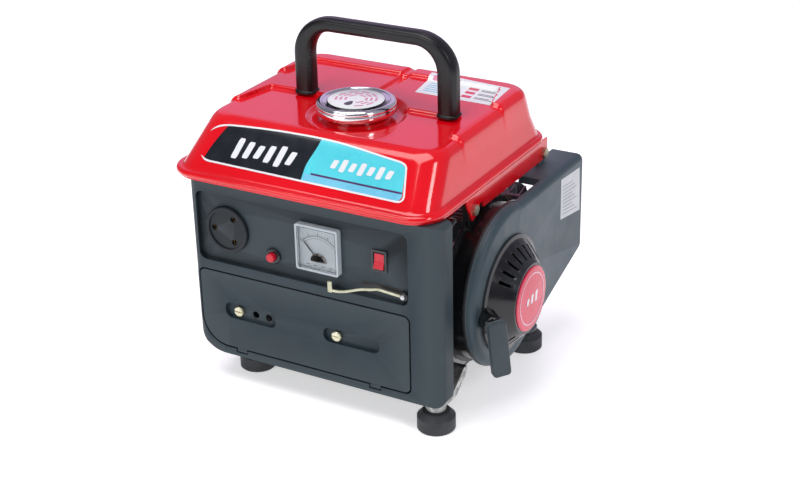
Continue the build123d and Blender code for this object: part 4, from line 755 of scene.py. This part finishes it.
finishes["decal_white"] = print_ink("decal_white_ink", (0.74, 0.76, 0.77), (0.84, 0.85, 0.86), 0.3)
finishes["decal_black"] = print_ink("decal_black_ink", (0.004, 0.006, 0.009), (0.010, 0.014, 0.020), 0.25)
finishes["decal_cyan"] = print_ink("decal_cyan_ink", (0.07, 0.58, 0.68), (0.10, 0.70, 0.78), 0.28)
finishes["decal_blue"] = print_ink("decal_blue_ink", (0.13, 0.50, 0.70), (0.20, 0.60, 0.80), 0.28)
finishes["decal_violet"] = print_ink("decal_violet_ink", (0.06, 0.02, 0.10), (0.10, 0.03, 0.16), 0.3)
finishes["label_pink"] = print_ink("label_pink_ink", (0.62, 0.16, 0.30), (0.74, 0.26, 0.40), 0.35)


def decal_low(x):
    return 13.4 - 2.6 * (x + 139.0) / 227.0


def decal_high(x):
    bulge = math.sin(math.pi * np.clip((x + 127.0) / 207.0, 0, 1) ** 0.9)
    return 53.6 + 4.6 * bulge - 4.6 * smooth((x + 20) / 110)


def division(v):
    """Curved border between the dark and the bright part."""
    return -25.5 + 7.5 * float(smooth((v - 0.25) / 0.75))


def dark_end(v):
    return -142.0 + 15.5 * v ** 1.35


def bright_end(v):
    corner = 7.0 * max(0.0, (0.14 - v) / 0.14) ** 2 + 7.0 * max(0.0, (v - 0.86) / 0.14) ** 2
    return 87.0 - 7.0 * v - corner


def tank_decal():
    low = lambda x: decal_low(x) + 0.6
    high = lambda x: decal_high(x) - 0.6
    inner = [(x, decal_high(x)) for x in np.linspace(-122.0, 72.0, 50)]
    outer_end = bezier((72.0, decal_high(72.0)), (80.5, decal_high(80.0) - 0.5), (81.5, 44.0), steps=8)
    side = [(81.5 + (88.0 - 81.5) * t, 44.0 - 26.0 * t) for t in np.linspace(0.1, 1, 9)]
    foot = bezier((88.0, 18.0), (89.5, decal_low(88.0)), (81.0, decal_low(81.0)), steps=8)
    base = [(x, decal_low(x)) for x in np.linspace(78.0, -134.0, 56)]
    tip = bezier((-134.0, decal_low(-134.0)), (-141.0, decal_low(-140.0) - 0.2), (-146.0, 18.0), steps=8)
    lead = bezier((-145.5, 44.5), (-139.0, 52.5), (-122.0, decal_high(-122.0)), steps=12)
    line = lead[:-1] + inner + outer_end[1:] + side + foot[1:] + base + tip[1:]
    patch("decal_outline", slope_face, ribbon(line, 1.9), 0.30, "decal_white")
    patch("decal_dark", slope_face, between(dark_end, division, low, high, 60, 24), 0.16, "decal_black")
    patch("decal_bright", slope_face, between(division, bright_end, low, high, 60, 30), 0.16, "decal_cyan")
    band_top = lambda x: decal_low(x) + 8.4
    patch("decal_band", slope_face,
          between(lambda v: division(0.2 * v) + 1.0, lambda v: bright_end(0.04 + 0.17 * v) - 0.6, low, band_top, 50, 5),
          0.24, "decal_blue")
    stripe_low, stripe_high = (lambda x: decal_low(x) + 8.0), (lambda x: decal_low(x) + 9.9)
    patch("decal_stripe", slope_face,
          between(lambda v: -17.0, lambda v: bright_end(0.22) - 0.4, stripe_low, stripe_high, 50, 1),
          0.34, "decal_violet")


def slanted_bar(name, face, x, width, low, high, lean, finish, lift=0.32, corner=0.8):
    """Leaning bar with softened corners."""
    rows = []
    for r in range(9):
        v = r / 8
        cut = corner * (max(0.0, (0.1 - v) / 0.1) ** 2 + max(0.0, (v - 0.9) / 0.1) ** 2)
        left = x + lean * v + cut
        rows.append([(left + (width - 2 * cut) * u / 4, low + (high - low) * v) for u in range(5)])
    return patch(name, face, rows, lift, finish)


def decal_marks():
    """Plain leaning bars where a maker would print a name."""
    heights = (22.0, 18.0, 14.0, 18.0, 22.0, 14.0)
    for k, height in enumerate(heights):
        x = -112.0 + k * 12.5
        slanted_bar(f"dark_mark_{k}", slope_face, x, 7.0, 32.0 - height / 2, 32.0 + height / 2, 4.5, "decal_white")
    for k in range(7):
        height = 13.0 if k % 2 else 9.0
        x = 1.0 + k * 10.2
        slanted_bar(f"bright_mark_{k}", slope_face, x, 6.0, 35.0 - height / 2, 35.0 + height / 2, 2.6, "decal_white")


tank_decal()
decal_marks()


def deck_sticker():
    """White information sheet with plain blocks of colour."""
    corners = [Vector(p) for p in ((9.0, 27.5), (101.0, 26.0), (97.0, 71.0), (1.0, 80.0))]

    def at(u, v):
        return tuple(corners[0].lerp(corners[1], u).lerp(corners[3].lerp(corners[2], u), v))

    def area(name, u0, u1, v0, v1, lift, finish, n=16):
        rows = [[at(u0 + (u1 - u0) * c / n, v0 + (v1 - v0) * r / n) for c in range(n + 1)] for r in range(n + 1)]
        return patch(name, deck_face, rows, lift, finish)

    area("deck_sheet", 0, 1, 0, 1, 0.14, "decal_white", 40)
    area("deck_heading", 0.06, 0.40, 0.76, 0.88, 0.22, "label_pink")
    for k in range(5):
        area(f"deck_line_{k}", 0.06, 0.44 - 0.03 * (k % 2), 0.16 + 0.11 * k, 0.20 + 0.11 * k, 0.22, "decal_blue", 6)
    for k in range(3):
        v = 0.18 + 0.24 * k
        area(f"deck_block_{k}", 0.54, 0.66, v, v + 0.14, 0.22, "label_red", 6)
        area(f"deck_note_{k}", 0.70, 0.92, v + 0.02, v + 0.05, 0.22, "decal_black", 6)
        area(f"deck_note_b{k}", 0.70, 0.88, v + 0.09, v + 0.12, 0.22, "decal_black", 6)


deck_sticker()


# ---------------------------------------------------------------- filler cap
def filler_cap():
    z0, z1 = span("fuel_cap", 2)
    radius = (span("fuel_cap", 0)[1] - span("fuel_cap", 0)[0]) / 2
    base = (CAP_X, CAP_Y, z0)
    height = z1 - z0
    profile = [
        (radius - 8.0, 0.0), (radius - 1.6, 0.0), (radius - 0.5, 0.5), (radius, 1.6), (radius, 5.6),
        (radius - 0.3, 6.6), (radius - 0.6, 7.2), (radius - 0.2, 8.0), (radius - 0.4, 9.6), (radius - 1.4, 11.0),
        (radius - 3.0, 12.0), (radius - 4.6, 12.4), (radius - 5.8, 12.1), (radius - 6.4, 11.4),
    ]
    lip = lathe("cap_ring", profile, base, (0, 0, 1), "chrome_cap", "cap", sharp=75.0)
    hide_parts("fuel_cap")
    dark = [(radius - 6.4, 11.6), (radius - 7.6, 10.4), (radius - 10.4, 10.2), (radius - 11.4, 11.0),
            (radius - 11.7, 11.9), (radius - 12.2, 12.1)]
    lathe("cap_inner_ring", [(radius - 6.3, 9.0)] + dark, base, (0, 0, 1), "gloss_black", "cap", sharp=75.0)
    label_r = radius - 12.0
    disc = [(label_r, height - 2.0), (label_r, height - 1.0), (label_r - 0.5, height - 0.75), (4.0, height - 0.5)]
    lathe("cap_label", disc, base, (0, 0, 1), "decal_white", "cap", slot="dial_white", sharp=50.0)
    top = height - 0.42

    def arc_band(name, r0, r1, start, end, finish):
        steps = 24
        verts = []
        for r in (r0, r1):
            for k in range(steps + 1):
                a = math.radians(start + (end - start) * k / steps)
                verts.append((CAP_X + r * math.cos(a), CAP_Y + r * math.sin(a), z0 + top - 0.006 * r))
        add_piece(name, verts, ring_faces(2, steps + 1, closed=False), finish, "cap", slot="label_red")

    for k in range(3):
        r = 9.5 + 5.0 * k
        for j in range(6 + 2 * k):
            gap = 360.0 / (6 + 2 * k)
            if 235 < (j * gap + 20) % 360 < 300:
                continue
            arc_band(f"cap_dash_{k}_{j}", r, r + 2.4, j * gap + 20 - gap * 0.36, j * gap + 20 + gap * 0.36, "label_pink")
    drop = [(4.0 * math.cos(a), 4.0 * math.sin(a) + (4.6 * max(0.0, math.sin(a)) ** 3)) for a in
            [2 * math.pi * k / 32 for k in range(32)]]
    verts = [(CAP_X + x, CAP_Y - 16.0 + y, z0 + top + 0.02) for x, y in drop]
    add_piece("cap_drop_mark", verts, [tuple(range(32))], "decal_black", "cap", slot="needle_black")


filler_cap()


# ---------------------------------------------------------------- carrying handle
def carrying_handle():
    (x0, x1), (y0, y1), (z0, z1) = [span("handle", k) for k in range(3)]
    leg, bar, depth = 21.0, 14.5, y1 - y0
    xl, xr, zt = x0 + leg / 2, x1 - leg / 2, z1 - bar / 2
    mid_y = (y0 + y1) / 2
    bend = 34.0
    path = []
    for k in range(10):
        path.append((xl, z0 + (zt - bend - z0) * k / 10, leg))
    for k in range(21):
        a = math.pi - math.pi / 2 * k / 20
        width = leg + (bar - leg) * float(smooth(k / 20))
        path.append((xl + bend + bend * math.cos(a), zt - bend + bend * math.sin(a), width))
    for k in range(1, 24):
        path.append((xl + bend + (xr - xl - 2 * bend) * k / 24, zt, bar))
    for k in range(21):
        a = math.pi / 2 - math.pi / 2 * k / 20
        width = bar + (leg - bar) * float(smooth(k / 20))
        path.append((xr - bend + bend * math.cos(a), zt - bend + bend * math.sin(a), width))
    for k in range(1, 11):
        path.append((xr, zt - bend + (z0 - zt + bend) * k / 10, leg))
    rings = []
    last = len(path) - 1
    for k, (x, z, width) in enumerate(path):
        ahead, back = path[min(k + 1, last)], path[max(k - 1, 0)]
        tx, tz = ahead[0] - back[0], ahead[1] - back[1]
        norm = math.hypot(tx, tz)
        nx, nz = -tz / norm, tx / norm
        ring = []
        for a, b in superellipse(width, depth, 3.2, 56):
            ridge = 0.55 * math.exp(-((abs(b) - depth * 0.30) / 1.1) ** 2) if a > 0 else 0.0
            ring.append((x + nx * (a - ridge), mid_y + b, z + nz * (a - ridge)))
        rings.append(ring)
    arch = loft("handle_arch", rings, "handle_black", sharp=50.0)
    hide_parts("handle")
    for side, x in (("left", xl), ("right", xr)):
        collar = [[(x + a, mid_y + b, z0 - 1.2 + h) for a, b in superellipse(leg + grow, depth + grow, 3.2, 56)]
                  for grow, h in ((2.2, 0.0), (2.4, 1.6), (1.6, 2.6), (0.0, 3.2))]
        loft(f"handle_collar_{side}", collar, "handle_black", sharp=50.0)


carrying_handle()


# ---------------------------------------------------------------- panel meter
def panel_meter():
    (x0, x1), (z0, z1) = span("meter_case", 0), span("meter_case", 2)
    x, z = (x0 + x1) / 2, (z0 + z1) / 2
    face_y = span("meter_dial", 1)[0]
    pivot_z = z - 12.0

    def flat(name, points, lift, finish, slot):
        verts = [(px, face_y - lift, pz) for px, pz in points]
        add_piece(name, verts, [tuple(range(len(points)))], finish, slot=slot)

    def scale_arc(radius, width, start, end, name):
        steps = 40
        verts = []
        for r in (radius, radius + width):
            for k in range(steps + 1):
                a = math.radians(start + (end - start) * k / steps)
                verts.append((x + r * math.cos(a), face_y - 0.12, pivot_z + r * math.sin(a)))
        add_piece(name, verts, ring_faces(2, steps + 1, closed=False), "needle_black")

    scale_arc(25.0, 0.5, 42.0, 138.0, "scale_arc")
    scale_arc(22.6, 0.3, 42.0, 138.0, "scale_arc_inner")
    for k in range(21):
        a = math.radians(42.0 + 96.0 * k / 20)
        r1 = 29.0 if k % 5 == 0 else 27.2
        t = 0.28 if k % 5 == 0 else 0.16
        c, s = math.cos(a), math.sin(a)
        quad = [(x + r * c + side * s * t, pivot_z + r * s - side * c * t)
                for r, side in ((25.0, 1), (r1, 1), (r1, -1), (25.0, -1))]
        flat(f"scale_tick_{k}", quad, 0.12, "needle_black", "needle_black")
    for k in range(4):
        quad = [(x - 15.0 + 9.0 * k + dx, pivot_z - 7.2 + dz) for dx, dz in ((0, 0), (3.4, 0), (3.4, 0.7), (0, 0.7))]
        flat(f"dial_note_{k}", quad, 0.12, "needle_black", "needle_black")
    shade_r = 9.0
    rings = []
    for depth, shrink in ((0.2, 0.0), (1.6, 0.0), (2.1, 0.5), (2.3, 1.2)):
        r = shade_r - shrink
        rings.append([(x + r * math.cos(math.pi * k / 24), face_y - depth,
                       pivot_z - 2.0 + shrink * 0.4 + r * math.sin(math.pi * k / 24))
                      for k in range(25)])
    loft("coil_shade", rings, "coil_shade", slot="clear_front", sharp=45.0)


shade = Finish("smoked_shade")
shade.set(
    Base_Color=shade.ramp(shade.noise(160.0), (0.3, (0.30, 0.24, 0.22)), (0.7, (0.50, 0.42, 0.40))),
    Roughness=shade.map(shade.noise(300.0), 0.15, 0.35),
    Transmission_Weight=0.35,
)
finishes["coil_shade"] = shade.mat
panel_meter()


# ---------------------------------------------------------------- recoil label and side sheet
def recoil_badge():
    x0 = span("recoil_label", 0)[0]
    y = sum(span("recoil_label", 1)) / 2
    z = sum(span("recoil_label", 2)) / 2
    radius = (span("recoil_label", 1)[1] - span("recoil_label", 1)[0]) / 2
    axis = (1, 0, 0)
    disc = [(radius, 0.0), (radius, 0.7), (radius - 0.6, 1.2), (radius - 3.0, 1.5), (3.0, 1.9)]
    badge = lathe("badge_disc", disc, (x0, y, z), axis, "label_red", slot="label_red", sharp=50.0)
    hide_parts("recoil_label")
    ring = []
    for r in (radius - 7.6, radius - 6.2):
        ring.append([(x0 + 1.78, y + r * math.cos(a), z + r * math.sin(a))
                     for a in [2 * math.pi * k / 96 for k in range(96)]])
    verts = [p for row in ring for p in row]
    add_piece("badge_ring", verts, ring_faces(2, 96), "label_pale", slot="label_red")
    for k in range(3):
        base_y = y - 13.0 + 9.5 * k
        tall = 7.0 + 2.4 * k
        quad = [(x0 + 2.02, base_y + dy, z + dz) for dy, dz in
                ((0, -tall / 2), (4.6, -tall / 2), (6.6, tall / 2), (2.0, tall / 2))]
        add_piece(f"badge_mark_{k}", quad, [(0, 1, 2, 3)], "decal_white", slot="label_red")


finishes["label_pale"] = print_ink("label_pale_ink", (0.78, 0.42, 0.52), (0.86, 0.55, 0.63), 0.3)
recoil_badge()


def shroud_sheet():
    """Notice on the shroud face with plain rules."""
    x = span("shroud", 0)[1] + 0.12
    corners = [Vector(p) for p in ((93.0, 144.0), (144.0, 136.0), (141.0, 187.0), (93.0, 190.0))]

    def area(name, u0, u1, v0, v1, lift, finish):
        quad = []
        for u, v in ((u0, v0), (u1, v0), (u1, v1), (u0, v1)):
            p = corners[0].lerp(corners[1], u).lerp(corners[3].lerp(corners[2], u), v)
            quad.append((x + lift, p.x, p.y))
        add_piece(name, quad, [(0, 1, 2, 3)], finish, slot="dial_white")

    area("shroud_sheet", 0, 1, 0, 1, 0.0, "sheet_grey")
    for k in range(9):
        area(f"shroud_rule_{k}", 0.10, 0.84 - 0.12 * (k % 3), 0.10 + 0.085 * k, 0.125 + 0.085 * k, 0.06, "rule_grey")


finishes["sheet_grey"] = print_ink("sheet_grey_ink", (0.50, 0.53, 0.53), (0.62, 0.65, 0.65), 0.5)
finishes["rule_grey"] = print_ink("rule_grey_ink", (0.26, 0.29, 0.30), (0.34, 0.37, 0.38), 0.5)
shroud_sheet()


# ---------------------------------------------------------------- choke lever
def choke_lever():
    """Bent strip lever: square tab, wavy strip and a screw at its pivot."""
    x_pivot, z_pivot = 90.0, 147.0
    y_front, y_back = -152.4, -147.2
    rounded_box("choke_tab", (8.0, y_front - 1.2, 136.6), (13.0, y_front + 0.8, 148.4), 0.5, "lever_cream",
                "choke", slot="yellow_zinc")
    line = bezier((12.0, 139.0), (30.0, 138.5), (38.0, 147.5), (56.0, 149.6), steps=16)
    line += [(x, 149.6 - 2.6 * (x - 56.0) / 34.0) for x in (62.0, 66.0, 74.0, 82.0, x_pivot)]
    rings = []
    for k, (x, z) in enumerate(line):
        ahead, back = line[min(k + 1, len(line) - 1)], line[max(k - 1, 0)]
        tx, tz = ahead[0] - back[0], ahead[1] - back[1]
        norm = math.hypot(tx, tz)
        nx, nz = -tz / norm, tx / norm
        y = y_front + (y_back - y_front) * float(smooth((x - 57.0) / 6.0))
        half = 1.25
        rings.append([(x + nx * a, y + b, z + nz * a) for a, b in
                      ((-half, -0.6), (half, -0.6), (half, 0.8), (-half, 0.8))])
    strip = loft("choke_strip", rings, "lever_cream", "choke", slot="yellow_zinc")
    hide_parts("choke_lever")
    lathe("choke_washer", [(4.6, 0.0), (4.6, 0.9), (4.2, 1.2)], (x_pivot, y_back + 1.6, z_pivot), (0, -1, 0),
          "black_paint", "choke", slot="yellow_zinc")
    lathe("choke_screw", [(2.6, 0.0), (2.6, 3.4), (2.2, 4.0), (1.2, 4.4)], (x_pivot, y_back + 1.6, z_pivot),
          (0, -1, 0), "zinc_steel", "choke", slot="yellow_zinc")
    lathe("choke_shaft", [(2.4, 0.0), (2.4, 44.0)], (x_pivot, -99.0, z_pivot), (0, -1, 0), "zinc_steel",
          "choke", slot="yellow_zinc")
    # Painted shadow: a flat black sheet just proud of the recess floor stands for the dark slot that the lever runs
    # behind.
    floor_y = -143.2
    slot = [(x_pivot - 49.0, 149.0), (x_pivot - 48.0, 152.0), (x_pivot - 20.0, 153.4), (x_pivot - 1.0, 152.2),
            (x_pivot + 2.5, 148.0), (x_pivot, 143.6), (x_pivot - 20.0, 146.0), (x_pivot - 47.0, 146.6)]
    add_piece("choke_slot_shadow", [(x, floor_y, z) for x, z in slot], [tuple(range(len(slot)))], "needle_black",
              slot="panel_plastic")


finishes["lever_cream"] = metal("lever_zinc", (0.40, 0.40, 0.27), (0.62, 0.62, 0.47), 0.42, 120.0)
choke_lever()


# ---------------------------------------------------------------- starter rope
def starter_rope():
    """Braided rope from the nose to the grip."""
    heading = Vector((0.743145, -0.669131, 0.0))
    mouth = Vector((146.0, -84.0, 111.0))
    side = Vector((0, 0, 1))
    across = heading.cross(side)
    reach = 30.6
    start, end = 16.0, 28.0
    rings = []
    stations = [6.0, 10.0, 14.0] + [start + (end - start) * k / 120 for k in range(121)] + [29.4, reach]
    for k, s in enumerate(stations):
        centre = mouth + heading * s
        ring = []
        for j in range(20):
            a = 2 * math.pi * j / 20
            r = 1.68 + 0.10 * math.cos(5 * a + 0.45 * k)
            ring.append(tuple(centre + (side * math.sin(a) + across * math.cos(a)) * r))
        rings.append(ring)
    cord = loft("starter_rope", rings, "rope_black", body=None, sharp=60.0)
    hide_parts("pull_rope")
    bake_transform(cord)


starter_rope()


# ---------------------------------------------------------------- studio
def studio():
    size = 9.0
    mesh = bpy.data.meshes.new("floor")
    mesh.from_pydata([(-size, -size, 0), (size, -size, 0), (size, size, 0), (-size, size, 0)], [], [(0, 1, 2, 3)])
    f = Finish("studio_floor")
    f.set(
        Base_Color=f.ramp(f.noise(0.8, 2.0), (0.3, (0.90, 0.90, 0.90)), (0.7, (0.93, 0.93, 0.93))),
        Roughness=f.map(f.noise(2.0), 0.5, 0.6),
        Specular_IOR_Level=0.1,
        Emission_Color=(1.0, 1.0, 1.0),
        Emission_Strength=0.50,
    )
    mesh.materials.append(f.mat)
    floor = bpy.data.objects.new("floor", mesh)
    bpy.context.scene.collection.objects.link(floor)

    world = bpy.data.worlds.new("studio")
    bpy.context.scene.world = world
    world.use_nodes = True
    tree = world.node_tree
    sky = tree.nodes["Background"]
    place = tree.nodes.new("ShaderNodeTexCoord")
    fade = tree.nodes.new("ShaderNodeTexGradient")
    turn = tree.nodes.new("ShaderNodeMapping")
    turn.inputs["Rotation"].default_value = (0.0, 0.0, math.radians(-60.0))
    turn.inputs["Location"].default_value = (0.5, 0.0, 0.0)
    turn.inputs["Scale"].default_value = (0.5, 0.5, 0.5)
    tone = tree.nodes.new("ShaderNodeValToRGB")
    tone.color_ramp.elements[0].color = (0.28, 0.27, 0.33, 1.0)
    tone.color_ramp.elements[1].color = (0.72, 0.66, 0.84, 1.0)
    tree.links.new(place.outputs["Generated"], turn.inputs["Vector"])
    tree.links.new(turn.outputs["Vector"], fade.inputs["Vector"])
    tree.links.new(fade.outputs["Fac"], tone.inputs["Fac"])
    tree.links.new(tone.outputs["Color"], sky.inputs["Color"])
    sky.inputs["Strength"].default_value = 0.50

    def softbox(name, at, aim, width, height, power, tint=(1.0, 1.0, 1.0)):
        light = bpy.data.lights.new(name, "AREA")
        light.shape = "RECTANGLE"
        light.size, light.size_y = width, height
        light.energy = power
        light.color = tint
        obj = bpy.data.objects.new(name, light)
        bpy.context.scene.collection.objects.link(obj)
        obj.location = at
        obj.rotation_euler = (Vector(aim) - Vector(at)).to_track_quat("-Z", "Y").to_euler()

    softbox("back_card", (-1.36, 2.35, 1.55), (0, 0, 0.25), 2.8, 1.7, 6.0, (0.80, 0.50, 1.0))
    softbox("right_box", (2.3, -0.78, 1.8), (0, 0, 0.2), 0.5, 1.2, 18.0)
    softbox("top_box", (-0.3, -0.4, 2.6), (0, 0, 0.1), 1.8, 1.8, 44.0)
    softbox("front_fill", (-0.9, -2.6, 1.3), (0, 0, 0.15), 1.6, 1.2, 20.0)


def camera():
    right = Vector((0.87059654, 0.49156778, -0.02056171))
    up = Vector((-0.19160693, 0.37724761, 0.90607451))
    back = -Vector((-0.45315389, 0.78488557, -0.42261826))
    data = bpy.data.cameras.new("photo_camera")
    data.lens = 72.0
    data.sensor_width = 36.0
    data.sensor_fit = "HORIZONTAL"
    obj = bpy.data.objects.new("photo_camera", data)
    turn = Matrix((right, up, back)).transposed().to_4x4()
    obj.matrix_world = Matrix.Translation((0.77538438, -1.33785400, 0.84363687)) @ turn
    bpy.context.scene.collection.objects.link(obj)
    bpy.context.scene.camera = obj


studio()
camera()
bpy.context.scene.view_settings.view_transform = "Standard"
